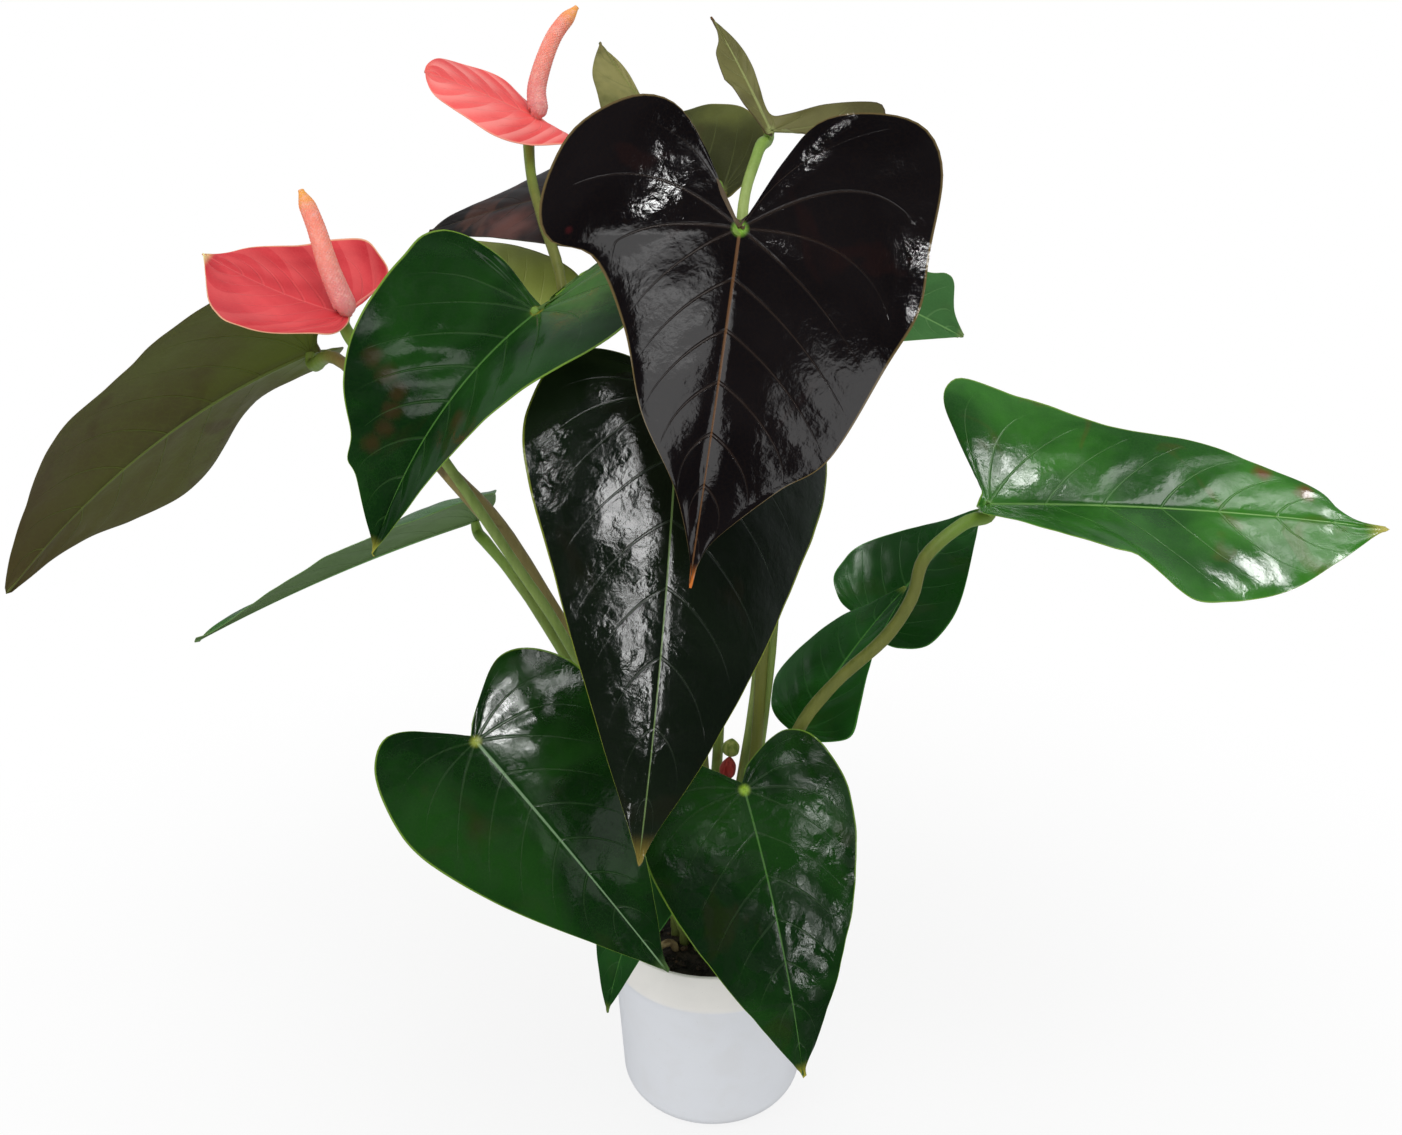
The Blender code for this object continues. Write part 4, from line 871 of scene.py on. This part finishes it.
def vein_masks(graph, look):
    """shares from 0 to 1 for the side veins, the rib and the margin"""
    share, run, vein = graph.field("share"), graph.field("run"), graph.field("vein")
    off = graph.math("ABSOLUTE", graph.math("SUBTRACT", vein, graph.math("ROUND", vein)))
    width = graph.ease(share, 0.0, 0.9, 1.0, 0.45)
    apart = graph.math("DIVIDE", graph.times(off, graph.field("step")), width)
    veins = graph.times(graph.fade(apart, 0.25, 1.0), graph.fade(share, 0.45, 0.97))
    veins = graph.times(veins, graph.ease(vein, 0.4, 0.8))
    beside = graph.math("DIVIDE", graph.field("out"), graph.ease(run, 0.0, 1.0, look.rib, 0.4))
    rib = graph.times(graph.fade(beside, 0.45, 1.0), graph.ease(run, -0.012, 0.0))
    return veins, rib, graph.fade(graph.field("margin"), 0.5, 1.3)


def add_mark(graph, mark, colour):
    """ragged spots of another colour"""
    near = graph.away(mark.places[0])
    for place in mark.places[1:]:
        near = graph.math("MINIMUM", near, graph.away(place))
    near = graph.math("ADD", near, graph.times(graph.noise(160.0, 3.0), 0.8 * mark.reach * MM))
    mask = graph.fade(near, 0.5 * mark.reach * MM, 1.4 * mark.reach * MM, mark.strength)
    return graph.mix(mask, colour, mark.colour)


def shell_bands(graph):
    """bands across a spathe that lean outwards"""
    share = graph.field("share")
    lean = graph.times(graph.math("POWER", share, 2.0), 1.7)
    bands = graph.math("FRACT", graph.math("SUBTRACT", graph.times(graph.field("run"), 5.2), lean))
    return graph.times(graph.ease(bands, 0.2, 0.95), graph.ease(share, 0.1, 0.6))


def blade_top(name, look):
    graph = new_paint(name + "_top")
    paint = PALETTES[look.palette]
    veins, rib, margin = vein_masks(graph, look)
    colour = graph.mix(graph.ease(graph.noise(16.0, 4.0, 0.6), 0.35, 0.68), paint.deep, paint.bright)
    fine = graph.fade(graph.cells(520.0, "DISTANCE_TO_EDGE"), 0.0, 0.12)
    colour = graph.tint(colour, fine, 0.07, paint.vein)
    patch = graph.ease(graph.noise(23.0, 3.0, 1.2), 0.60, 0.70)
    colour = graph.tint(colour, patch, look.blotch, paint.blotch)
    for mark in MARKS:
        if mark.leaf == name:
            colour = add_mark(graph, mark, colour)
    if look.palette in SHELL_BANDS:
        colour = graph.tint(colour, shell_bands(graph), SHELL_BANDS[look.palette], paint.vein)
    colour = graph.tint(colour, veins, look.veins, paint.vein)
    colour = graph.tint(colour, rib, 0.8, paint.rib)
    joint = graph.fade(graph.field("start"), 0.8, 4.0)
    colour = graph.tint(colour, joint, 0.8, JOINT_COLOURS.get(name, paint.rib))
    colour = graph.tint(colour, margin, look.edge, paint.margin)
    colour = graph.mix(graph.ease(graph.field("run"), 0.925, 1.0), colour, paint.tip)
    rough = graph.ease(graph.noise(40.0, 3.0), 0.3, 0.75, paint.roughness, paint.roughness + 0.05)
    rough = graph.math("ADD", rough, graph.fade(graph.noise(60.0, 7.0, 1.6), 0.49, 0.53, 0.24 * look.film))
    rough = graph.math("ADD", rough, graph.times(graph.math("MAXIMUM", veins, rib), 0.16))
    normal = graph.bump(graph.noise(200.0, 5.0, 0.3), 0.22 * MM * look.wrinkle)
    normal = graph.bump(graph.noise(420.0), 0.02 * MM, normal)
    normal = graph.bump(veins, -0.2 * MM, normal)
    return graph.finish(colour, rough, normal, ior=1.5, specular_ior_level=look.mirror)


def blade_under(name, look):
    graph = new_paint(name + "_under")
    paint = PALETTES[look.palette]
    veins, rib, margin = vein_masks(graph, look)
    run = graph.field("run")
    cloud = graph.ease(graph.noise(14.0, 4.0, 0.5), 0.3, 0.7, 0.0, 0.45)
    colour = graph.mix(cloud, paint.under, paint.under_vein)
    fine = graph.fade(graph.cells(240.0, "DISTANCE_TO_EDGE"), 0.0, 0.1)
    colour = graph.tint(colour, fine, 0.2, paint.under_vein)
    patch = graph.ease(graph.noise(19.0, 3.0, 1.0), 0.56, 0.72)
    colour = graph.tint(colour, patch, look.blotch, paint.blotch)
    colour = graph.mix(graph.ease(run, 0.35, 0.95, 0.0, look.blotch), colour, paint.blotch)
    colour = graph.tint(colour, veins, 0.4, paint.under_vein)
    colour = graph.tint(colour, rib, graph.ease(run, 0.3, 0.9, 0.9, 0.3), paint.rib)
    colour = graph.mix(graph.fade(graph.field("start"), 4.0, 55.0, 0.75), colour, paint.under_vein)
    colour = graph.tint(colour, margin, 0.6, paint.margin)
    rough = graph.ease(graph.noise(60.0, 3.0), 0.3, 0.75, 0.36, 0.52)
    normal = graph.bump(graph.noise(120.0, 4.0, 0.6), 0.4 * MM)
    normal = graph.bump(graph.math("MAXIMUM", veins, rib), 0.4 * MM, normal)
    return graph.finish(colour, rough, normal, ior=1.45, specular_ior_level=0.3)


# Stalks

def path_frames(route):
    """directions along a route, and two axes across it that turn as little as they can"""
    ahead = np.gradient(route, axis=0)
    ahead /= np.linalg.norm(ahead, axis=1, keepdims=True)
    side = unit(np.cross(ahead[0], (0.0, 1.0, 0.2)))
    sides = []
    for direction in ahead:
        side = unit(side - direction * side.dot(direction))
        sides.append(side)
    return ahead, np.array(sides), np.cross(ahead, sides)


def tube_piece(name, route, radii, sides, material, wall=None):
    """a closed tube with rounded ends; wall changes its radius with the angle and the share of the run"""
    ahead, side, over = path_frames(route)
    share = np.linspace(0, 1, len(route))
    turn = tau * np.arange(sides) / sides
    radius = radii[:, None] * (np.ones(sides) if wall is None else wall(turn[None, :], share[:, None]))
    ring = np.cos(turn)[None, :, None] * side[:, None, :] + np.sin(turn)[None, :, None] * over[:, None, :]
    walls = (route[:, None, :] + radius[:, :, None] * ring).reshape(-1, 3)
    ends = route[0] - 0.3 * radii[0] * ahead[0], route[-1] + 0.3 * radii[-1] * ahead[-1]
    points = np.vstack((walls, *ends))
    first_end, last_end = ([len(points) - place] * (sides + 1) for place in (2, 1))
    faces = strips([first_end] + [closed_row(row * sides, sides) for row in range(len(route))] + [last_end])
    run = walked(route) / MM
    fields = {
        "run": np.append(np.repeat(share, sides), (0, 1)),
        "length": np.append(np.repeat(run, sides), (0, run[-1])),
        "rest": np.append(np.repeat(run[-1] - run, sides), (run[-1], 0)),
        "turn": np.append(np.tile(turn, len(route)), (0, 0)),
    }
    return new_piece(name + "_fine", points, faces, (material,), 60, None, fields)


def ring_place(stalk, height):
    turn = radians(stalk.angle)
    return np.array([stalk.ring * cos(turn), stalk.ring * sin(turn), height])


def joint_normal(blade):
    along_axis, _, up_axis = blade_axes(blade)
    slope = radians(blade.bend) / 2
    return unit(-sin(slope) * along_axis + cos(slope) * up_axis)


def stalk_route(stalk, blade):
    normal = joint_normal(blade)
    seat = metres(blade.joint) - 0.5 * MM * normal
    foot = ring_place(stalk, SOIL_LEVEL - SOCKET_DEPTH)
    collar = ring_place(stalk, SOIL_LEVEL + COLLAR_HEIGHT)
    upper = smooth_through([collar, *metres(stalk.via), seat - STALK_APPROACH * normal, seat], STALK_STEPS)
    return np.vstack((foot, foot * 0.5 + upper[0] * 0.5, upper))


def stalk_radii(stalk, route):
    """stout at the foot, a soft swelling below the blade, and a slight neck at the joint"""
    run = walked(route)
    rest = run[-1] - run
    swell, middle, spread = SWELLINGS.get(stalk.blade, (0.0, 0.5, 0.1))
    shape = 1 + 0.22 * bell(run, 26 * MM)
    shape += 0.16 * bell(rest - 14 * MM, 9 * MM) - STALK_NECK * bell(rest, 5 * MM)
    shape += swell * bell(run / run[-1] - middle, spread)
    shape += 0.03 * np.sin(run / (9 * MM) + stalk.angle) + 0.02 * np.sin(run / (3.7 * MM) + 2 * stalk.angle)
    return stalk.radius * MM * shape


def stalk_material(name):
    main, light, mark, amount = STALK_PAINTS[name]
    graph = new_paint(name + "_skin")
    streak = graph.ease(graph.grain((320.0, 320.0, 34.0), 4.0, 0.3), 0.32, 0.68)
    # painted light: one side of each stalk, the one facing the front, is painted paler as if lit
    side = graph.ease(graph.math("SINE", graph.field("turn")), 0.1, 0.9)
    speck = graph.fade(graph.cells(520.0), 0.16, 0.30)
    colour = graph.tint(main, streak, 0.55, light)
    colour = graph.tint(colour, side, 0.45, light)
    colour = graph.tint(colour, graph.ease(graph.noise(42.0, 4.0, 0.7), 0.56, 0.68), amount, mark)
    colour = graph.tint(colour, speck, 0.35, light)
    colour = graph.mix(graph.fade(graph.field("rest"), 22.0, 60.0, 0.8), colour, STALK_END)
    colour = graph.mix(graph.fade(graph.field("length"), 12.0, 60.0, 0.5), colour, STALK_FOOT)
    rough = graph.ease(graph.noise(150.0), 0.3, 0.7, 0.34, 0.50)
    normal = graph.bump(graph.grain((320.0, 320.0, 34.0), 4.0, 0.2), 0.3 * MM)
    normal = graph.bump(speck, 0.08 * MM, normal)
    return graph.finish(colour, rough, normal, ior=1.45, coat_weight=0.08, coat_roughness=0.2)


def channelled(turn, share):
    """a groove down one side, that closes towards the foot"""
    return 1 - 0.34 * bell(turn - pi * 1.5, 0.55) * ease(share, 0.3, 0.7)


def add_stalk(stalk, blades, name, materials):
    route = stalk_route(stalk, blades[stalk.blade])
    wall = channelled if stalk.blade == "leaf_young" else None
    piece = tube_piece(name, route, stalk_radii(stalk, route), STALK_SIDES, materials[stalk.paint], wall)
    stand_for(piece, name)


# Flowers

def add_spadix(spadix, blade, material):
    """a tapering column of small pointed knobs in slanting rows"""
    seat = metres(blade.joint)
    given = [seat + 3.5 * MM * joint_normal(blade), *metres(spadix.via)]
    route = np.vstack((seat, smooth_through(given, SPADIX_RINGS - 1)))
    run = walked(route)
    route = np.column_stack([np.interp(np.linspace(0, run[-1], SPADIX_RINGS), run, axis) for axis in route.T])
    share = np.linspace(0, 1, SPADIX_RINGS)
    radii = (spadix.radius + (spadix.tip_radius - spadix.radius) * share) * MM
    radii *= np.sqrt(1 - ease(share, 0.86, 1.0) * 0.86) * (0.55 + 0.45 * ease(share, 0, 0.09))

    def knobs(turn, part):
        across, up = SPADIX_KNOBS * turn / 2, pi * part * run[-1] / KNOB_PITCH
        crests = np.abs(np.sin(across + up) * np.sin(across - up)) ** 0.7
        return 1 + KNOB_HEIGHT / (spadix.radius * MM) * (crests - 0.5)

    piece = tube_piece(spadix.name, route, radii, SPADIX_SIDES, material, knobs)
    stand_for(piece, spadix.name)


def spadix_material():
    graph = new_paint("spadix_skin")
    run = graph.field("run")
    colour = graph.mix(graph.ease(run, 0.0, 0.7), (0.74, 0.24, 0.23), (0.88, 0.27, 0.19))
    colour = graph.mix(graph.ease(run, 0.78, 0.97), colour, (0.85, 0.36, 0.07))
    colour = graph.tint(colour, graph.ease(graph.noise(420.0, 3.0), 0.42, 0.72), 0.45, (0.90, 0.48, 0.40))
    dot = graph.fade(graph.cells(640.0), 0.10, 0.34)
    colour = graph.tint(colour, dot, 0.4, (0.90, 0.58, 0.50))
    normal = graph.bump(dot, 0.12 * MM)
    return graph.finish(colour, 0.55, normal, ior=1.42, subsurface_weight=0.15, subsurface_scale=0.002)


def add_bud(stalk_skin):
    """the bud's stalk, and on it the red body and the green tip, each a pointed egg with shallow folds"""
    foot = metres(BUD_FOOT)
    lean = unit(BUD_LEAN)
    upper = smooth_through([*metres(BUD_ROUTE), foot - 4 * MM * lean, foot], BUD_STALK_STEPS)
    route = np.vstack(((0.0, 0.0, STEM_TOP), upper))
    radii = np.full(len(route), BUD_STALK_RADIUS)
    stalk = tube_piece("flower_bud_stalk", route, radii, BUD_STALK_SIDES, stalk_skin)
    stand_for(stalk, "flower_bud_stalk")
    share = np.linspace(0, 1, BUD_STEPS)
    for tone, (radius, height, low, high) in BUD_PARTS.items():
        route = foot + np.outer(share * height, lean)
        radii = radius * np.sin(pi * share ** 0.8) ** 0.75 + 0.02 * MM
        skin = bud_material(tone, low, high)
        piece = tube_piece("flower_bud_" + tone, route, radii, BUD_SIDES, skin, folds)
        stand_for(piece, "flower_bud_" + tone)
        foot = route[-1]


def folds(turn, part):
    return 1 + 0.07 * np.sin(3 * turn + 5 * part) * np.sin(pi * part)


def bud_material(tone, low, high):
    graph = new_paint("bud_" + tone)
    grain = graph.grain((420.0, 420.0, 90.0), 3.0, 0.4)
    colour = graph.mix(graph.ease(grain, 0.3, 0.7), low, high)
    return graph.finish(colour, 0.38, graph.bump(grain, 0.25 * MM), ior=1.45)


# Pot, soil and roots

def add_pot():
    """the shell with a soft rim band, a rounded lower edge and a small foot"""
    band_foot = POT_HEIGHT - RIM_BAND
    band_radius = WALL_TOP_RADIUS + RIM_STEP
    lip = POT_WALL / 2
    floor = FOOT_HEIGHT + POT_WALL
    inner = WALL_FOOT_RADIUS - POT_WALL
    profile = arc(RIM_RADIUS - lip, POT_HEIGHT - lip, lip, 90, 0, 8)
    profile += [(band_radius + 0.25 * MM, band_foot + 5 * MM), (band_radius, band_foot + 1.2 * MM)]
    profile += [(band_radius - 0.3 * MM, band_foot + 0.5 * MM), (WALL_TOP_RADIUS, band_foot - 0.6 * MM)]
    profile.append((WALL_TOP_RADIUS - 0.3 * MM, band_foot - 5 * MM))
    profile += arc(WALL_FOOT_RADIUS - FOOT_ROUNDING, FOOT_HEIGHT + FOOT_ROUNDING, FOOT_ROUNDING, 0, -90, 12)
    profile += [(FOOT_RADIUS + 0.2 * MM, FOOT_HEIGHT - 0.2 * MM), (FOOT_RADIUS - 0.2 * MM, 0.4 * MM)]
    profile += [(FOOT_RADIUS - 0.6 * MM, 0.0), (FOOT_RADIUS - 3 * MM, 0.0), (0.0, 0.0), (0.0, floor)]
    profile += [(inner - FOOT_ROUNDING, floor), (inner - 0.3 * FOOT_ROUNDING, floor + 0.3 * FOOT_ROUNDING)]
    profile += [(inner, floor + FOOT_ROUNDING), (RIM_RADIUS - POT_WALL - 0.2 * MM, POT_HEIGHT - 3 * MM)]
    profile += arc(RIM_RADIUS - lip, POT_HEIGHT - lip, lip, 180, 90, 6)
    pot = new_piece("pot_fine", *turned(profile, POT_STEPS), (pot_material(),), 40)
    stand_for(pot, "pot")


def pot_material():
    graph = new_paint("pot_plastic")
    height = graph.add("SeparateXYZ", 2, {0: graph.place()})
    # painted light: the rim band is painted paler and warmer, as where light falls, and the wall below a
    # cooler grey, as in shade
    band = graph.ease(height, POT_HEIGHT - RIM_BAND - 1 * MM, POT_HEIGHT - RIM_BAND + 3 * MM)
    colour = graph.mix(band, (0.72, 0.74, 0.78), (0.80, 0.785, 0.75))
    colour = graph.tint(colour, graph.ease(graph.noise(55.0, 5.0, 0.3), 0.42, 0.74), 0.16, (0.60, 0.59, 0.56))
    # painted shade: the pot darkens over its lowest 14 mm, where its underside lies in shadow
    colour = graph.mix(graph.fade(height, 0.0, 14 * MM, 0.35), colour, (0.50, 0.49, 0.47))
    colour = graph.mix(graph.fade(graph.cells(300.0), 0.05, 0.09, 0.25), colour, (0.45, 0.43, 0.40))
    normal = graph.bump(graph.grain((12.0, 12.0, 900.0), 2.0, 0.0), 0.05 * MM)
    normal = graph.bump(graph.noise(260.0, 3.0), 0.05 * MM, normal)
    return graph.finish(colour, graph.ease(graph.noise(90.0, 3.0), 0.3, 0.7, 0.32, 0.44), normal, ior=1.46)


def soil_material(name, low, high):
    graph = new_paint(name)
    colour = graph.mix(graph.ease(graph.noise(240.0, 6.0, 0.4), 0.36, 0.66), low, high)
    colour = graph.tint(colour, graph.fade(graph.cells(430.0), 0.10, 0.20), 0.3, (0.16, 0.11, 0.065))
    normal = graph.bump(graph.noise(520.0, 6.0, 0.5), 1.2 * MM)
    normal = graph.bump(graph.cells(260.0), 0.8 * MM, normal)
    return graph.finish(colour, graph.ease(graph.noise(130.0), 0.3, 0.7, 0.72, 0.96), normal)


def add_soil():
    """the filling, with a lumpy top, and loose crumbs that lie on it"""
    inner = WALL_FOOT_RADIUS - POT_WALL - 1 * MM
    bottom = FOOT_HEIGHT + POT_WALL + 1 * MM
    profile = [(SOIL_RADIUS * ring / SOIL_RINGS, SOIL_LEVEL) for ring in range(SOIL_RINGS + 1)]
    profile += [(inner, bottom + FOOT_ROUNDING - 1 * MM), (inner - 0.7 * FOOT_ROUNDING, bottom)]
    profile.append((0.0, bottom))
    points, faces = turned(profile, SOIL_SECTORS)
    top = points[:1 + SOIL_RINGS * SOIL_SECTORS]
    edge = ease(np.hypot(top[:, 0], top[:, 1]), 0.93 * SOIL_RADIUS, SOIL_RADIUS)
    lumps = sum(height * rough_field(top, reach * MM, seed) for height, reach, seed in SOIL_NOISE)
    top[:, 2] += SOIL_LUMPS * lumps * (1 - 0.6 * edge) - 1.5 * MM * edge
    dark = soil_material("soil_dark", (0.0060, 0.0042, 0.0030), (0.030, 0.019, 0.011))
    stand_for(new_piece("soil_fine", points, faces, (dark,), 80), "soil")
    brown = soil_material("soil_bark", (0.020, 0.012, 0.007), (0.080, 0.045, 0.022))
    add_crumbs(top, (dark, brown))


def add_crumbs(ground, materials):
    """bits of bark and peat, each a small uneven lump that rests on the ground"""
    random = np.random.default_rng(CRUMB_SEED)
    heap = bmesh.new()
    for _ in range(CRUMBS):
        spot = ground[random.integers(1, len(ground))]
        if np.hypot(spot[0], spot[1]) > 0.95 * SOIL_RADIUS:
            continue
        size = random.uniform(*CRUMB_SIZES)
        stretch = random.uniform((0.7, 0.6, 0.4), (1.7, 1.2, 0.8))
        made = bmesh.ops.create_icosphere(heap, subdivisions=1, radius=size)["verts"]
        spin = Matrix.Rotation(random.uniform(0, tau), 3, "Z")
        spin @= Matrix.Rotation(random.uniform(-0.5, 0.5), 3, "X")
        for corner in made:
            shape = Vector(corner.co[axis] * stretch[axis] * random.uniform(0.75, 1.25) for axis in range(3))
            corner.co = spin @ shape + Vector(spot) + Vector((0, 0, 0.35 * size))
        kind = 1 if random.uniform() < 0.3 else 0
        for face in {face for corner in made for face in corner.link_faces}:
            face.material_index = kind
    mesh = bpy.data.meshes.new("soil_crumbs")
    heap.to_mesh(mesh)
    heap.free()
    for material in materials:
        mesh.materials.append(material)
    item = show("soil_crumbs", mesh)
    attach(item, "root")


def bark_material(name, low, high):
    graph = new_paint(name)
    grain = graph.grain((260.0, 260.0, 110.0), 5.0, 0.6)
    colour = graph.mix(graph.ease(grain, 0.32, 0.68), low, high)
    return graph.finish(colour, 0.78, graph.bump(grain, 1.0 * MM))


def add_stem():
    """the short ringed stem in the middle of the stalks"""
    share = np.linspace(0, 1, STEM_STEPS)
    foot = SOIL_LEVEL - SOCKET_DEPTH
    route = np.outer(foot + (STEM_TOP - foot) * share, (0.0, 0.0, 1.0))
    radii = STEM_RADIUS * (1 - 0.5 * ease(share, 0.6, 1.0) - 0.06 * np.abs(np.sin(share * STEM_RINGS * pi)))
    skin = bark_material("stem_skin", (0.035, 0.024, 0.010), (0.13, 0.10, 0.04))
    stand_for(tube_piece("stem", route, radii, STEM_SIDES, skin), "stem")


def add_root():
    share = np.linspace(0, 1, ROOT_STEPS)
    radii = ROOT_RADIUS * (1 - 0.2 * share) * (1 + 0.07 * np.sin(share * 31) + 0.04 * np.sin(share * 73))
    skin = bark_material("root_skin", (0.13, 0.085, 0.035), (0.36, 0.27, 0.13))
    root = tube_piece("aerial_root", smooth_through(metres(ROOT_POINTS), ROOT_STEPS), radii, ROOT_SIDES, skin)
    stand_for(root, "aerial_root")


# Studio

def add_floor():
    """a pale round floor that fades into the white of the room"""
    graph = new_paint("floor_paint")
    colour = graph.mix(graph.noise(6.0, 3.0), (0.84, 0.84, 0.84), (0.87, 0.87, 0.865))
    paint = graph.finish(colour, 0.75, graph.bump(graph.noise(300.0), 0.05 * MM))
    away = graph.add("VectorMath", "Value", {0: graph.place()}, operation="LENGTH")
    fade = graph.ease(away, 0.12, 0.75, 0.78, 1.0)
    matt = graph.tree.nodes["Principled BSDF"].outputs[0]
    glow = graph.add("Emission", 0, {"Strength": WHITE_LEVEL})
    blend = graph.add("MixShader", 0, {0: fade, 1: matt, 2: glow})
    graph.plug(graph.tree.nodes["Material Output"].inputs["Surface"], blend)
    item = new_piece("floor", *turned(((0.0, 0.0), (FLOOR_RADIUS, 0.0)), FLOOR_STEPS), (paint,))
    item.visible_glossy = False


def add_world():
    """white behind the plant as the camera sees it; a dimmer room in what the leaves mirror"""
    world = bpy.data.worlds.new("studio_room")
    bpy.context.scene.world = world
    graph = Graph(world)
    depth = graph.add("SeparateXYZ", 1, {0: graph.add("TexCoord", "Generated")})
    levels = {"Value": depth, "From Min": -0.3, "From Max": 0.6, "To Min": ROOM_FRONT, "To Max": ROOM_BACK}
    room = graph.add("Background", 0, {"Color": ROOM_TINT, "Strength": graph.add("MapRange", 0, levels)})
    around = graph.add("Background", 0, {"Color": WHITE, "Strength": AMBIENT_LEVEL})
    back = graph.add("Background", 0, {"Color": WHITE, "Strength": WHITE_LEVEL})
    mirrored = graph.add("LightPath", "Is Glossy Ray")
    seen = graph.add("LightPath", "Is Camera Ray")
    blend = graph.add("MixShader", 0, {0: mirrored, 1: around, 2: room})
    blend = graph.add("MixShader", 0, {0: seen, 1: blend, 2: back})
    graph.plug(graph.tree.nodes["World Output"].inputs["Surface"], blend)


def add_light(light, mirrors=None):
    """a soft lamp on the matt colour of all things or, with pieces that mirror it, a window in their gloss"""
    lamp = bpy.data.lights.new(light.name, "AREA")
    lamp.shape = "RECTANGLE"
    lamp.size = light.width
    lamp.size_y = light.height
    lamp.energy = light.brightness * pi * light.width * light.height
    item = show(light.name, lamp)
    item.location = Vector(light.aim) + light.distance * Vector(light.direction).normalized()
    item.rotation_euler = (Vector(light.aim) - item.location).to_track_quat("-Z", "Y").to_euler()
    item.visible_camera = False
    item.visible_glossy = mirrors is not None
    item.visible_diffuse = mirrors is None
    if mirrors is not None:
        group = bpy.data.collections.new(light.name + "_lights")
        for piece in mirrors:
            group.objects.link(piece)
        item.light_linking.receiver_collection = group


def add_lights():
    """the lamps, and the windows of each leaf; a piece with no windows of its own mirrors the shared ones"""
    for lamp in SOFT_LAMPS:
        add_light(lamp)
    groups = {leaf: [] for leaf in WINDOWS}
    for item in bpy.context.scene.objects:
        if item.type == "MESH" and item.name != "floor":
            groups.get(item.name.replace("_blade_fine", ""), groups[""]).append(item)
    for leaf, windows in WINDOWS.items():
        for window in windows:
            add_light(window, groups[leaf])


def add_camera():
    camera = bpy.data.cameras.new("camera")
    camera.sensor_width = SENSOR_WIDTH
    camera.lens = SENSOR_WIDTH * FOCAL_PIXELS / IMAGE_WIDTH
    camera.clip_start = 0.02
    camera.clip_end = 30.0
    item = show("camera", camera)
    item.location = CAMERA_PLACE
    item.rotation_euler = (radians(90 - CAMERA_PITCH), 0.0, 0.0)
    bpy.context.scene.camera = item
    bpy.context.scene.view_settings.view_transform = "Standard"


def build():
    blades = {blade.name: blade for blade in BLADES + SPATHES}
    add_camera()
    add_pot()
    add_soil()
    add_stem()
    add_root()
    for blade in BLADES:
        add_blade(blade, blade.name + "_blade")
    for spathe in SPATHES:
        add_blade(spathe, spathe.name)
    materials = {paint: stalk_material(paint) for paint in STALK_PAINTS}
    for stalk in STALKS:
        add_stalk(stalk, blades, stalk.blade.replace("_spathe", "") + "_stalk", materials)
    skin = spadix_material()
    for spadix in SPADICES:
        add_spadix(spadix, blades[spadix.spathe], skin)
    add_bud(materials["stalk_green"])
    add_floor()
    add_world()
    add_lights()


build()
